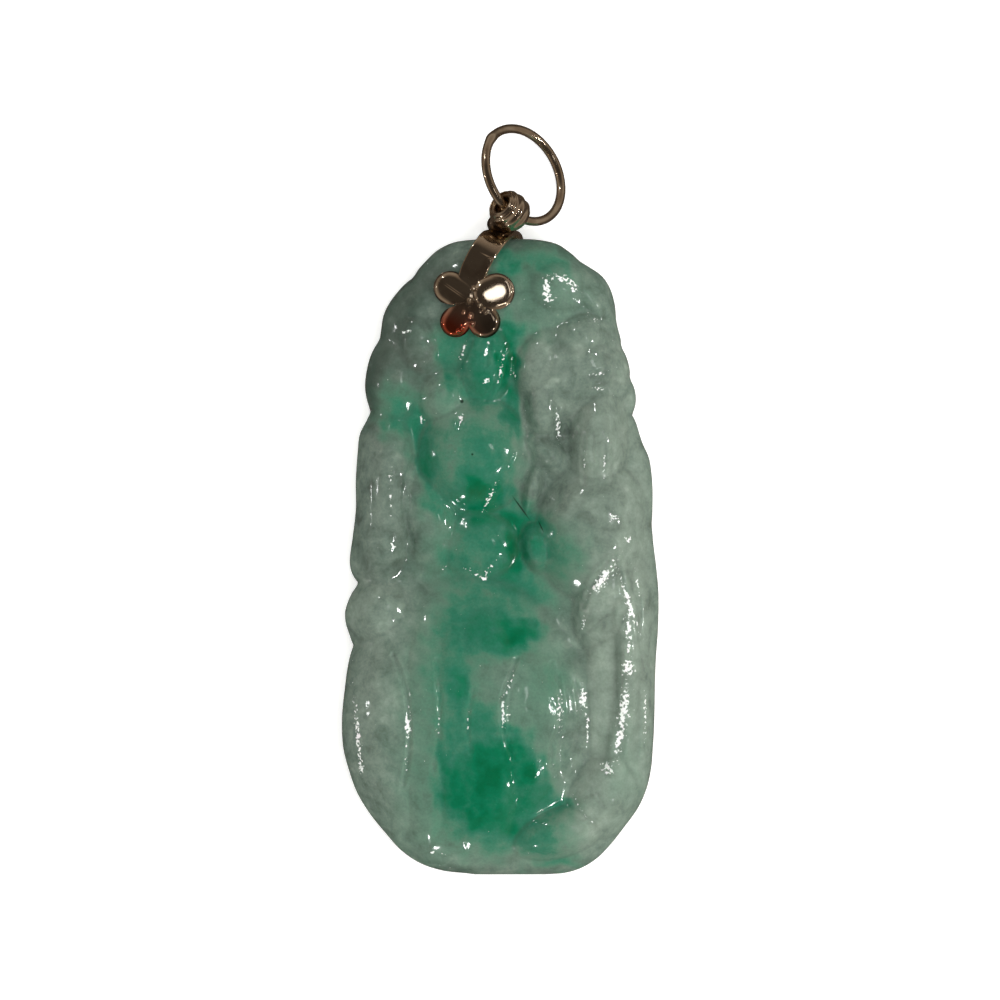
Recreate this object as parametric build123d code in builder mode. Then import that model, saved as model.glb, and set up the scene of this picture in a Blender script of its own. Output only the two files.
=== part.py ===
from build123d import *
from math import asin, cos, degrees, hypot, radians, sin
import os

import numpy as np

# A carved jadeite pendant, lying on its plain back, in millimetres. X runs to the wearer's left, Y runs up
# the pendant towards its jump ring and Z rises from the surface that it lies on. The origin is on that
# surface, in the middle of the pendant's length and width.

# Jade carving
jade_width = 22.6
jade_height = 45.4
jade_depth = 7.0  # back to the crown of the melon
rim_height = 2.6  # where the front and the back meet, all round the outline
edge_width = 2.7  # how far in from the outline the front is rounded over
ground_height = 4.2  # the ground between the raised forms
seam_softness = 0.24  # how softly two neighbouring forms run together
rib_height = 0.20  # the melon's ribs over the furrows between them
back_margin = 2.4  # how far in from the outline the back is rounded up
back_taper = 15.0  # how far down from the top the back rises to the thin upper end
bore_diameter = 1.2  # drilled through for the peg
bore_across = -0.192  # the bore's place, a share of half the width
bore_up = 0.900  # and a share of the height

# Gold bail
fit_gap = 0.12  # between the bail and the jade
strap_width = 1.9
strap_thickness = 0.35
bail_rise = 4.95  # from the peg up to the middle of the strap's arch
bail_lean = 2.5  # how far the arch leans to the right of the peg
peg_diameter = 0.9
blossom_reach = 1.75  # from the peg to the middle of a petal
petal_radius = 1.22
petal_height = 0.75
heart_radius = 1.4  # the low dome under the petals' inner ends
heart_height = 0.53
button_radius = 0.6
button_height = 0.8
button_lift = 0.15  # the button's edge over the petals' edges
eye_radius = 0.97  # from the middle of the eye to the middle of its wall
eye_wall = 0.78
eye_width = 1.9  # along its hole
eye_rise = 1.49  # from the arch up to the middle of the eye
eye_forward = 1.90  # from the arch towards the front
eye_lean = 0.34  # from the top of the arch to the right
eye_seat = 0.1  # where the neck stands on the strap, in rows of its table before the top of the arch
eye_turn = 15.0  # degrees from the ring's wire towards the front
saddle_radius = 0.60  # the neck's foot on the strap
neck_radius = 0.75  # the neck's end at the eye
neck_inset = 0.20  # how far outside the middle of the eye's wall the neck ends

# Gold jump ring
ring_radius = 3.5  # to the middle of the wire
ring_wire = 0.65
ring_heading = 25.2  # degrees from straight down to the ring's level axis
ring_pass = 56.0  # degrees round the ring from that axis to the eye

# Fineness of the carved surface
outline_points = 160
line_points = 9
carved_rows = 84
carved_columns = 42
rim_crowding = 0.88  # 0 spaces the columns evenly, 1 crowds them fully towards the rim
back_steps = 4
strap_sections = 26
strap_step = 0.05  # in rows of the strap's table, to tell which way it runs
blossom_samples = 25

# The jade's outline, up each side from the lower end. Up is a share of the height, out is a share of half
# the width.
LEFT_OUTLINE = (
    # up, out
    (0.000, 0.158),
    (0.0014, 0.199),
    (0.006, 0.362),
    (0.017, 0.499),
    (0.037, 0.621),
    (0.066, 0.727),
    (0.096, 0.824),
    (0.130, 0.906),
    (0.163, 0.954),
    (0.199, 0.991),
    (0.236, 1.000),
    (0.303, 0.977),
    (0.350, 0.958),
    (0.377, 0.960),
    (0.394, 0.977),
    (0.413, 0.982),
    (0.430, 0.967),
    (0.457, 0.946),
    (0.484, 0.955),
    (0.534, 0.930),
    (0.573, 0.912),
    (0.6205, 0.912),
    (0.6645, 0.900),
    (0.693, 0.888),
    (0.714, 0.855),
    (0.740, 0.850),
    (0.769, 0.855),
    (0.809, 0.828),
    (0.855, 0.756),
    (0.878, 0.739),
    (0.924, 0.628),
    (0.9645, 0.474),
    (0.9817, 0.398),
    (0.994, 0.298),
    (0.9985, 0.180),
    (1.000, 0.080),
)
RIGHT_OUTLINE = (
    # up, out
    (0.000, 0.278),
    (0.003, 0.423),
    (0.011, 0.521),
    (0.025, 0.611),
    (0.0475, 0.700),
    (0.076, 0.790),
    (0.104, 0.871),
    (0.136, 0.928),
    (0.163, 0.953),
    (0.205, 0.968),
    (0.337, 0.985),
    (0.394, 1.000),
    (0.451, 1.000),
    (0.480, 0.989),
    (0.534, 0.966),
    (0.563, 0.965),
    (0.630, 0.958),
    (0.655, 0.942),
    (0.682, 0.896),
    (0.710, 0.870),
    (0.754, 0.862),
    (0.780, 0.842),
    (0.8014, 0.818),
    (0.830, 0.786),
    (0.866, 0.739),
    (0.899, 0.724),
    (0.9216, 0.697),
    (0.9407, 0.650),
    (0.956, 0.572),
    (0.981, 0.435),
    (0.9914, 0.367),
    (0.997, 0.282),
    (0.9995, 0.190),
    (1.000, 0.120),
)

# Nicks where two forms meet at the outline. Side is -1 for left, up and spread are shares of the height,
# depth is a share of half the width.
NICKS = (
    # side, up, depth, spread
    (-1, 0.940, 0.032, 0.011),
    (-1, 0.841, 0.016, 0.009),
    (-1, 0.729, 0.040, 0.012),
    (-1, 0.457, 0.056, 0.013),
    (-1, 0.359, 0.034, 0.013),
    (1, 0.965, 0.026, 0.011),
    (1, 0.830, 0.024, 0.009),
    (1, 0.780, 0.026, 0.009),
    (1, 0.724, 0.034, 0.011),
    (1, 0.551, 0.008, 0.010),
)

# Raised forms of the front. Across, half_across and half_up are shares of half the width, up is a share of
# the height, turn is in degrees, crown (the top) and fall (the drop to the edge) are shares of the depth,
# and power makes the form domed (2) or flat with steep sides (3).
FORMS = (
    # name, across, up, half_across, half_up, turn, crown, fall, power
    ("cap", 0.000, 0.908, 0.708, 0.480, 0, 0.764, 0.143, 2.4),
    ("cap bulge", 0.354, 0.921, 0.215, 0.177, 0, 0.807, 0.143, 2.4),
    ("crest", 0.613, 0.901, 0.253, 0.095, -55, 0.764, 0.114, 2.4),
    ("shoulder", -0.607, 0.893, 0.190, 0.316, -28, 0.707, 0.129, 2.4),
    ("bud", -0.525, 0.838, 0.139, 0.196, 15, 0.779, 0.157, 2.6),
    ("flank", -0.708, 0.768, 0.202, 0.265, 0, 0.707, 0.129, 2.4),
    ("berry", -0.341, 0.748, 0.158, 0.171, 0, 0.764, 0.143, 2.4),
    ("calyx", -0.088, 0.811, 0.171, 0.291, -6, 0.814, 0.186, 2.8),
    ("rosette", 0.461, 0.795, 0.341, 0.291, 0, 0.829, 0.157, 3.2),
    ("upper petal", 0.518, 0.841, 0.196, 0.145, 20, 0.857, 0.143, 2.6),
    ("left petal", 0.259, 0.806, 0.145, 0.209, -12, 0.857, 0.157, 2.6),
    ("lower petal", 0.272, 0.731, 0.107, 0.202, 6, 0.821, 0.171, 2.6),
    ("right petal", 0.714, 0.798, 0.120, 0.126, 0, 0.821, 0.143, 2.4),
    ("drop", 0.619, 0.682, 0.171, 0.335, -4, 0.900, 0.229, 2.8),
    ("fruit", -0.158, 0.660, 0.316, 0.329, 0, 0.921, 0.229, 2.6),
    ("roll", -0.727, 0.591, 0.190, 0.544, -3, 0.800, 0.186, 2.8),
    ("left pad", -0.442, 0.553, 0.171, 0.303, 8, 0.757, 0.143, 2.6),
    ("middle pad", -0.133, 0.517, 0.234, 0.209, 0, 0.750, 0.143, 2.6),
    ("band", 0.284, 0.666, 0.158, 0.095, -45, 0.793, 0.157, 2.4),
    ("strip", 0.209, 0.610, 0.063, 0.177, -12, 0.779, 0.186, 2.4),
    ("small bud", 0.228, 0.514, 0.095, 0.158, 12, 0.814, 0.200, 2.6),
    ("leaf", 0.582, 0.542, 0.316, 0.392, -12, 0.943, 0.243, 2.8),
    ("leaf fold", 0.657, 0.430, 0.164, 0.278, -16, 0.829, 0.157, 2.8),
    ("lobe", -0.777, 0.414, 0.215, 0.196, 20, 0.779, 0.171, 2.6),
    ("side", 0.860, 0.292, 0.158, 0.853, 2, 0.750, 0.157, 2.6),
    ("valley", 0.664, 0.276, 0.120, 0.632, 0, 0.707, 0.100, 2.4),
    ("curl", 0.360, 0.068, 0.297, 0.152, 14, 0.850, 0.200, 2.6),
    ("tail", 0.664, 0.126, 0.215, 0.253, -25, 0.807, 0.157, 2.6),
)

# The ribbed melon that fills the lower half, with the same columns.
MELON = ("melon", -0.209, 0.238, 0.796, 0.967, 0, 1.000, 0.386, 2.6)

# The melon's ribs: long ovals, with the same columns up to their half sizes.
RIBS = (
    # across, up, half_across, half_up
    (-0.809, 0.216, 0.253, 0.727),
    (-0.468, 0.221, 0.120, 0.632),
    (-0.284, 0.232, 0.107, 0.569),
    (-0.101, 0.218, 0.196, 0.695),
    (0.202, 0.235, 0.177, 0.405),
    (0.493, 0.248, 0.126, 0.392),
)

# Lines cut into the front, each a curve through a start, a bend and an end. The places are shares of half
# the width and of the height, width is a share of half the width and depth of the depth. A line of
# negative depth is a raised ridge.
LINES = (
    # name, from_across, from_up, bend_across, bend_up, to_across, to_up, width, depth
    ("calyx left", -0.183, 0.858, -0.215, 0.823, -0.253, 0.794, 0.022, 0.050),
    ("calyx middle", -0.070, 0.850, -0.082, 0.823, -0.088, 0.789, 0.022, 0.050),
    ("calyx right", 0.044, 0.833, 0.006, 0.792, -0.082, 0.745, 0.022, 0.050),
    ("leaf rib", 0.702, 0.496, 0.632, 0.465, 0.525, 0.380, 0.028, 0.043),
    ("twisted ridge", 0.784, 0.414, 0.815, 0.326, 0.740, 0.174, 0.075, -0.090),
    ("thin ridge", 0.752, 0.504, 0.828, 0.433, 0.891, 0.347, 0.022, -0.036),
    ("outer ridge", 0.917, 0.433, 0.923, 0.292, 0.904, 0.189, 0.028, -0.043),
    ("stem", -0.556, 0.638, -0.619, 0.583, -0.563, 0.515, 0.028, 0.057),
)

# The strap from the blossom over the jade's top to the hidden end of its back leg. Up is a share of the
# bail's rise, lean of its lean, depth runs from 0 on the back leg to 1 on the front one, and turn is the
# strap's slant in degrees.
STRAP = (
    # up, lean, depth, turn
    (-0.15, -0.04, 1.00, -12),
    (0.22, 0.02, 1.00, -14),
    (0.43, 0.12, 1.01, -20),
    (0.65, 0.33, 1.01, -28),
    (0.79, 0.51, 0.96, -28),
    (0.90, 0.68, 0.85, -22),
    (0.97, 0.85, 0.68, -10),
    (1.00, 1.00, 0.48, 0),
    (0.97, 1.12, 0.27, -4),
    (0.88, 1.16, 0.09, -14),
    (0.73, 1.02, 0.00, -26),
    (0.45, 0.64, -0.01, -32),
    (0.00, 0.00, -0.01, -34),
    (-0.16, -0.23, -0.01, -34),
)

# Petals of the blossom: where each points in degrees, how far out it sits and how large it is, as shares
# of the blossom's reach and of the petals' radius.
PETALS = (
    # heading, reach, size
    (20, 1.17, 1.06),
    (84, 0.86, 0.80),
    (145, 0.95, 0.98),
    (236, 1.01, 0.90),
    (306, 1.02, 0.95),
)

half_width = jade_width / 2


def along_table(stations, values, at):
    """The smooth curve through a table's values, a cubic between each two stations."""
    stations = np.asarray(stations, float)
    values = np.asarray(values, float)
    slopes = np.gradient(values, stations)
    at = np.asarray(at, float)
    low = np.clip(np.searchsorted(stations, at, side="right") - 1, 0, len(stations) - 2)
    span = stations[low + 1] - stations[low]
    t = (at - stations[low]) / span
    from_low = (1 + 2 * t) * (1 - t) ** 2 * values[low] + t * (1 - t) ** 2 * span * slopes[low]
    from_high = t**2 * (3 - 2 * t) * values[low + 1] + t**2 * (t - 1) * span * slopes[low + 1]
    return from_low + from_high


def side_outline(table, side):
    """Points up one side of the outline, in millimetres: X outward and Y up the jade."""
    ups, outs = (np.array(column) for column in zip(*table))
    steps = np.hypot(np.diff(ups) * jade_height, np.diff(outs) * half_width)
    walked = np.concatenate(((0.0,), np.cumsum(steps)))
    at = np.linspace(0, walked[-1], outline_points)
    up = np.clip(along_table(walked, ups, at), 0, 1)
    out = along_table(walked, outs, at)
    for nick_side, nick_up, depth, spread in NICKS:
        if nick_side == side:
            out = out - depth * np.exp(-np.abs(up - nick_up) / spread)
    return out * half_width, up * jade_height


left_out, left_up = side_outline(LEFT_OUTLINE, -1)
right_out, right_up = side_outline(RIGHT_OUTLINE, 1)
rim_x = np.concatenate((right_out, -left_out[::-1]))
rim_y = np.concatenate((right_up, left_up[::-1]))


# The ring leans on the surface at its far side and passes through the eye, so the length of the pendant
# follows from where the eye is. Heights up the pendant are first counted from the jade's lower end.
peg_x = bore_across * half_width
peg_up = bore_up * jade_height
eye_up = peg_up + bail_rise + eye_rise
eye_x = peg_x + bail_lean + eye_lean


def form_height(form, x, y):
    """One raised form: a dome over a turned ellipse that keeps falling outside it."""
    across, up, half_across, half_up, turn, crown, fall, power = form[1:]
    dx = x - across * half_width
    dy = y - up * jade_height
    angle = radians(turn)
    along = (dx * cos(angle) + dy * sin(angle)) / (half_across * half_width)
    beside = (dy * cos(angle) - dx * sin(angle)) / (half_up * half_width)
    return (crown - fall * np.hypot(along, beside) ** power) * jade_depth


def melon_height(x, y):
    """The melon's dome with its ribs, each of which swells over a long oval."""
    swells = []
    for across, up, half_across, half_up in RIBS:
        beside = (x - across * half_width) / (half_across * half_width)
        along = (y - up * jade_height) / (half_up * half_width)
        swells.append(1 - (beside**2 + along**2) ** 2)
    swell = np.clip(np.max(swells, axis=0), -1, 1)
    return form_height(MELON, x, y) + rib_height * (swell - 1)


def distance_to_run(ends_x, ends_y, x, y):
    """Distance from the points to the nearest straight piece of a run of points."""
    nearest = np.full(x.shape, np.inf)
    for x0, y0, x1, y1 in zip(ends_x[:-1], ends_y[:-1], ends_x[1:], ends_y[1:]):
        dx, dy = x1 - x0, y1 - y0
        share = np.clip(((x - x0) * dx + (y - y0) * dy) / (dx * dx + dy * dy), 0, 1)
        nearest = np.minimum(nearest, np.hypot(x - x0 - share * dx, y - y0 - share * dy))
    return nearest


def line_distance(places, x, y):
    """Distance from the points to a curve through a start, a bend and an end."""
    across, up, bend_across, bend_up, to_across, to_up = places
    t = np.linspace(0, 1, line_points)
    start = np.array((across * half_width, up * jade_height))
    bend = np.array((bend_across * half_width, bend_up * jade_height))
    end = np.array((to_across * half_width, to_up * jade_height))
    control = 2 * bend - (start + end) / 2
    curve = np.outer((1 - t) ** 2, start) + np.outer(2 * t * (1 - t), control) + np.outer(t**2, end)
    return distance_to_run(curve[:, 0], curve[:, 1], x, y)


def rim_distance(x, y):
    """Distance in from the jade's outline."""
    return distance_to_run(np.append(rim_x, rim_x[0]), np.append(rim_y, rim_y[0]), x, y)


def front_height(x, y):
    """Height of the carved front over the points."""
    heights = [np.full(x.shape, float(ground_height)), melon_height(x, y)]
    heights += [form_height(form, x, y) for form in FORMS]
    heights = np.array(heights)
    highest = heights.max(axis=0)
    blend = np.exp((heights - highest) / seam_softness).sum(axis=0)
    relief = highest + seam_softness * np.log(blend)
    for line in LINES:
        width, depth = line[7:]
        gap = line_distance(line[1:7], x, y)
        relief = relief - depth * jade_depth * np.exp(-((gap / (width * half_width)) ** 2))
    inward = np.clip(rim_distance(x, y) / edge_width, 0, 1)
    rounding = np.sqrt(1 - (1 - inward) ** 2)
    return rim_height + (relief - rim_height) * rounding


def back_height(share):
    """Height of the back, share of the way in from the rim to the flat."""
    return rim_height * (1 - np.sqrt(1 - (1 - share) ** 2))


def carved_grid():
    """Rows of points over the front, crowded towards the rim: X, Y and height."""
    row = np.linspace(-1, 1, carved_rows + 1)
    column = np.linspace(-1, 1, carved_columns + 1)
    ups = (np.sin(row * rim_crowding * np.pi / 2) / sin(rim_crowding * np.pi / 2) + 1) / 2
    shares = np.sin(column * rim_crowding * np.pi / 2) / sin(rim_crowding * np.pi / 2)
    left = -np.interp(ups * jade_height, left_up, left_out)
    right = np.interp(ups * jade_height, right_up, right_out)
    x = (left[:, None] * (1 - shares) + right[:, None] * (1 + shares)) / 2
    y = np.repeat((ups * jade_height)[:, None], len(shares), axis=1)
    z = front_height(x, y)
    z[0] = z[-1] = rim_height
    z[:, 0] = z[:, -1] = rim_height
    return x, y, z


def rim_of(grid):
    """The grid's outer points in order, once round."""
    return np.concatenate((grid[0, :-1], grid[:-1, -1], grid[-1, :0:-1], grid[:0:-1, 0]))


def back_ring(edge_x, edge_y, share):
    """The back's points a share of the way in from the rim to the flat."""
    middle_up = jade_height / 2
    flat_top = jade_height - back_taper
    flat_x = edge_x * (1 - back_margin / half_width)
    flat_y = np.where(
        edge_y > middle_up,
        middle_up + (edge_y - middle_up) * (flat_top - middle_up) / (jade_height - middle_up),
        middle_up + (edge_y - middle_up) * (1 - back_margin / middle_up),
    )
    return edge_x + (flat_x - edge_x) * share, edge_y + (flat_y - edge_y) * share


def back_over(y):
    """Height of the back's middle at a place up the pendant, above the flat."""
    share = (jade_height - y) / back_taper
    return float(back_height(min(share, 1.0)))


def triangle(a, b, c):
    """One flat facet."""
    return Face(Wire.make_polygon((Vector(*a), Vector(*b), Vector(*c)), close=True))


def carved_faces():
    """All facets of the jade: the carved front, the rounded back and its flat."""
    x, y, z = carved_grid()
    y = y + low_end
    points = np.stack((x, y, z), axis=-1)
    facets = []
    for i in range(carved_rows):
        for j in range(carved_columns):
            a, b = points[i, j], points[i, j + 1]
            c, d = points[i + 1, j + 1], points[i + 1, j]
            facets += [triangle(a, b, c), triangle(a, c, d)]
    rings = []
    for step in range(back_steps + 1):
        share = 1 - cos(step / back_steps * np.pi / 2)
        ring_x, ring_y = back_ring(rim_of(x), rim_of(y) - low_end, share)
        height = np.full(len(ring_x), back_height(share))
        rings.append(np.stack((ring_x, ring_y + low_end, height), axis=-1))
    for outer, inner in zip(rings[:-1], rings[1:]):
        for k in range(len(outer)):
            n = (k + 1) % len(outer)
            facets += [triangle(outer[k], inner[n], outer[n]), triangle(outer[k], inner[k], inner[n])]
    facets.append(Face(Wire.make_polygon([Vector(*p) for p in rings[-1]], close=True)))
    return facets


# Heights of the bail, from the jade that it clears.
petal_far = max(reach * blossom_reach + size * petal_radius for _, reach, size in PETALS)
span = np.linspace(-petal_far, petal_far, blossom_samples)
span_x, span_y = np.meshgrid(span, span)
under_blossom = np.hypot(span_x, span_y) < petal_far
blossom_base = float(front_height(peg_x + span_x, peg_up + span_y)[under_blossom].max()) + fit_gap
strap_ups, strap_leans, strap_depths, strap_turns = zip(*STRAP)
strap_front = blossom_base + strap_thickness / 2
leg_end = peg_up + strap_ups[-1] * bail_rise - strap_width / 2 * abs(sin(radians(strap_turns[-1])))
strap_back = back_over(leg_end) - fit_gap - strap_thickness / 2

# The eye, and the lean of the ring that rests in it and on the surface. A ring that is too small to reach
# the surface hangs straight down from the eye.
arch_row = strap_ups.index(max(strap_ups))
arch_z = strap_back + strap_depths[arch_row] * (strap_front - strap_back)
eye_z = arch_z + eye_forward
pass_angle = radians(ring_pass)
ring_lean = asin(min(1.0, (eye_z - ring_wire / 2) / (ring_radius * (1 + sin(pass_angle)))))
heading = radians(ring_heading)
ring_level = np.array((sin(heading), -cos(heading), 0.0))
ring_high = np.array((-cos(heading) * cos(ring_lean), -sin(heading) * cos(ring_lean), sin(ring_lean)))
ring_normal = np.cross(ring_level, ring_high)
to_eye = ring_radius * (cos(pass_angle) * ring_level + sin(pass_angle) * ring_high)
wire_way = cos(pass_angle) * ring_high - sin(pass_angle) * ring_level
ring_top = eye_up - to_eye[1] + ring_radius * hypot(ring_level[1], ring_high[1]) + ring_wire / 2

# The jade's lower end, so that the origin is in the middle of the whole length.
low_end = -ring_top / 2
eye_centre = np.array((eye_x, eye_up + low_end, eye_z))
ring_centre = eye_centre - to_eye
eye_axis = wire_way * cos(radians(eye_turn)) + np.array((0, 0, 1)) * sin(radians(eye_turn))
eye_axis = eye_axis / np.linalg.norm(eye_axis)
peg_y = peg_up + low_end


def strap_plane(place):
    """The plane across the strap at a place along its table, from 0 to the last row."""
    rows = np.arange(len(STRAP))

    def point(at):
        up = along_table(rows, strap_ups, at)
        lean = along_table(rows, strap_leans, at)
        depth = along_table(rows, strap_depths, at)
        z = strap_back + depth * (strap_front - strap_back)
        return np.array((peg_x + lean * bail_lean, peg_y + up * bail_rise, z))

    way = point(min(place + strap_step, rows[-1])) - point(max(place - strap_step, 0))
    way = way / np.linalg.norm(way)
    turn = radians(float(along_table(rows, strap_turns, place)))
    across = np.array((cos(turn), sin(turn), 0.0))
    across = across - way * (across @ way)
    return Plane(origin=tuple(point(place)), x_dir=tuple(across), z_dir=tuple(way))


def cap(x, y, z, radius, height):
    """A domed cap that stands on the level z."""
    ball = (radius**2 + height**2) / (2 * height)
    with Locations((x, y, z + height - ball)):
        Sphere(ball, arc_size1=degrees(asin((ball - height) / ball)), align=None)


# The carved jade, with its drilled bore.
with BuildPart() as jade_carving:
    add(Solid(Shell(carved_faces())))
    with Locations((peg_x, peg_y, jade_depth / 2)):
        Cylinder(bore_diameter / 2, 2 * jade_depth, mode=Mode.SUBTRACT)

# The bail: strap, peg, blossom and eye, soldered into one piece.
with BuildPart() as bail:
    for place in np.linspace(0, len(STRAP) - 1, strap_sections):
        with BuildSketch(strap_plane(place)):
            Rectangle(strap_width, strap_thickness)
    loft(ruled=True)
    with Locations((peg_x, peg_y, (strap_front + strap_back) / 2)):
        Cylinder(peg_diameter / 2, strap_front - strap_back)
    for petal_heading, reach, size in PETALS:
        out = reach * blossom_reach
        petal_x = peg_x + out * cos(radians(petal_heading))
        petal_y = peg_y + out * sin(radians(petal_heading))
        cap(petal_x, petal_y, blossom_base, size * petal_radius, petal_height)
    cap(peg_x, peg_y, blossom_base, heart_radius, heart_height)
    cap(peg_x, peg_y, blossom_base + button_lift, button_radius, button_height)
    eye_plane = Plane(origin=tuple(eye_centre), x_dir=(0, 0, 1), z_dir=tuple(np.cross(eye_axis, (0, 0, 1))))
    side_way = np.array(tuple(eye_plane.z_dir))
    eye_profile = Plane(
        origin=tuple(eye_centre),
        x_dir=tuple(np.cross(eye_axis, side_way)),
        z_dir=tuple(side_way),
    )
    with BuildSketch(eye_profile):
        with Locations((eye_radius, 0)):
            Ellipse(eye_wall / 2, eye_width / 2)
    revolve(axis=Axis(tuple(eye_centre), tuple(eye_axis)))
    foot = np.array(tuple(strap_plane(arch_row - eye_seat).origin))
    to_foot = foot - eye_centre
    in_eye_plane = to_foot - eye_axis * (to_foot @ eye_axis)
    limb = eye_centre + (eye_radius + neck_inset) * in_eye_plane / np.linalg.norm(in_eye_plane)
    neck_way = limb - foot
    neck_length = float(np.linalg.norm(neck_way))
    neck_plane = Plane(origin=tuple(foot), z_dir=tuple(neck_way / neck_length))
    with Locations(neck_plane.location):
        Cone(
            saddle_radius,
            neck_radius,
            neck_length,
            align=(Align.CENTER, Align.CENTER, Align.MIN),
        )

# The jump ring, round wire, closed.
with BuildPart() as jump_ring:
    with Locations(Plane(origin=tuple(ring_centre), z_dir=tuple(ring_normal)).location):
        Torus(ring_radius, ring_wire / 2)

jade_carving.part.label = "jade_carving"
bail.part.label = "bail"
jump_ring.part.label = "jump_ring"

os.makedirs("parts", exist_ok=True)
export_step(jade_carving.part, "parts/jade_carving.step")
export_step(bail.part, "parts/bail.step")
export_step(jump_ring.part, "parts/jump_ring.step")
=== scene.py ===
"""Looks of a carved jadeite pendant with a gold bail and a jump ring, lying on a pale surface.

Lengths are in millimetres until a mesh is written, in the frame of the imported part: X to the right, Y up the
pendant towards its jump ring and Z up from the surface that it lies on.
"""

import logging
from collections.abc import Callable, Iterable
from dataclasses import dataclass, field
from enum import Enum
from functools import partial

import bpy
import numpy as np
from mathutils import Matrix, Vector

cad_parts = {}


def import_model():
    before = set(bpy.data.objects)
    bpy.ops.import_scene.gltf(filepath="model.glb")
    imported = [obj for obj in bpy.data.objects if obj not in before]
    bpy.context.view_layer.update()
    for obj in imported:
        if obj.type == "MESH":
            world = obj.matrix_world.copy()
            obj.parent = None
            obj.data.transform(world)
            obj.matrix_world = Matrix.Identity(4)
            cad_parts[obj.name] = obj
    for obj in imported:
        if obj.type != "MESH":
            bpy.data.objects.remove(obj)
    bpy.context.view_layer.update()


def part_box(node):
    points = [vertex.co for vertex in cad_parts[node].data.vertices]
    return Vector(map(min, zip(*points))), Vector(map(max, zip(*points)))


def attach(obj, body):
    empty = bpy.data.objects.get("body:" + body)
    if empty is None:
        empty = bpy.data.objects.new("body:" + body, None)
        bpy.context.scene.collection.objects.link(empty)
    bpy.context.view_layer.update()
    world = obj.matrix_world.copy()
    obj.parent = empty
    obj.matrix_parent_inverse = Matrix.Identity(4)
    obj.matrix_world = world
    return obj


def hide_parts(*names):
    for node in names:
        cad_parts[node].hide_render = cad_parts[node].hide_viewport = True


Array = np.ndarray
Table = tuple[tuple, ...]
Input = bpy.types.NodeSocket | float | tuple[float, ...]
MM = 0.001
BODY = "root"
LOG = logging.getLogger("pendant")
# What turns a Mix node to colours, and the number of its colour output.
IN_COLOUR = {"data_type": "RGBA", "output": 2}

# The jade's outline, up each side from the lower end. Up is a share of the height, out is a share of half
# the width.
LEFT_OUTLINE = (
    # (up, out)
    (0.000, 0.158), (0.0014, 0.199), (0.006, 0.362), (0.017, 0.499), (0.037, 0.621), (0.066, 0.727),
    (0.096, 0.824), (0.130, 0.906), (0.163, 0.954), (0.199, 0.991), (0.236, 1.000), (0.303, 0.977),
    (0.350, 0.958), (0.377, 0.960), (0.394, 0.977), (0.413, 0.982), (0.430, 0.967), (0.457, 0.946),
    (0.484, 0.955), (0.534, 0.930), (0.573, 0.912), (0.6205, 0.912), (0.6645, 0.900), (0.693, 0.888),
    (0.714, 0.855), (0.740, 0.850), (0.769, 0.855), (0.809, 0.828), (0.855, 0.756), (0.878, 0.739),
    (0.924, 0.628), (0.9645, 0.474), (0.9817, 0.398), (0.994, 0.298), (0.9985, 0.180), (1.000, 0.080),
)
RIGHT_OUTLINE = (
    # (up, out)
    (0.000, 0.278), (0.003, 0.423), (0.011, 0.521), (0.025, 0.611), (0.0475, 0.700), (0.076, 0.790),
    (0.104, 0.871), (0.136, 0.928), (0.163, 0.953), (0.205, 0.968), (0.337, 0.985), (0.394, 1.000),
    (0.451, 1.000), (0.480, 0.989), (0.534, 0.966), (0.563, 0.965), (0.630, 0.958), (0.655, 0.942),
    (0.682, 0.896), (0.710, 0.870), (0.754, 0.862), (0.780, 0.842), (0.8014, 0.818), (0.830, 0.786),
    (0.866, 0.739), (0.899, 0.724), (0.9216, 0.697), (0.9407, 0.650), (0.956, 0.572), (0.981, 0.435),
    (0.9914, 0.367), (0.997, 0.282), (0.9995, 0.190), (1.000, 0.120),
)

# Nicks where two forms meet at the outline. Up and spread are shares of the height, depth is a share of half
# the width.
LEFT_NICKS = (
    # up, depth, spread
    (0.940, 0.032, 0.011),
    (0.841, 0.016, 0.009),
    (0.729, 0.040, 0.012),
    (0.457, 0.056, 0.013),
    (0.359, 0.034, 0.013),
)
RIGHT_NICKS = (
    # up, depth, spread
    (0.965, 0.026, 0.011),
    (0.830, 0.024, 0.009),
    (0.780, 0.026, 0.009),
    (0.724, 0.034, 0.011),
    (0.551, 0.008, 0.010),
)

# Tables of places begin with names, which are there for the reader.

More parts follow.
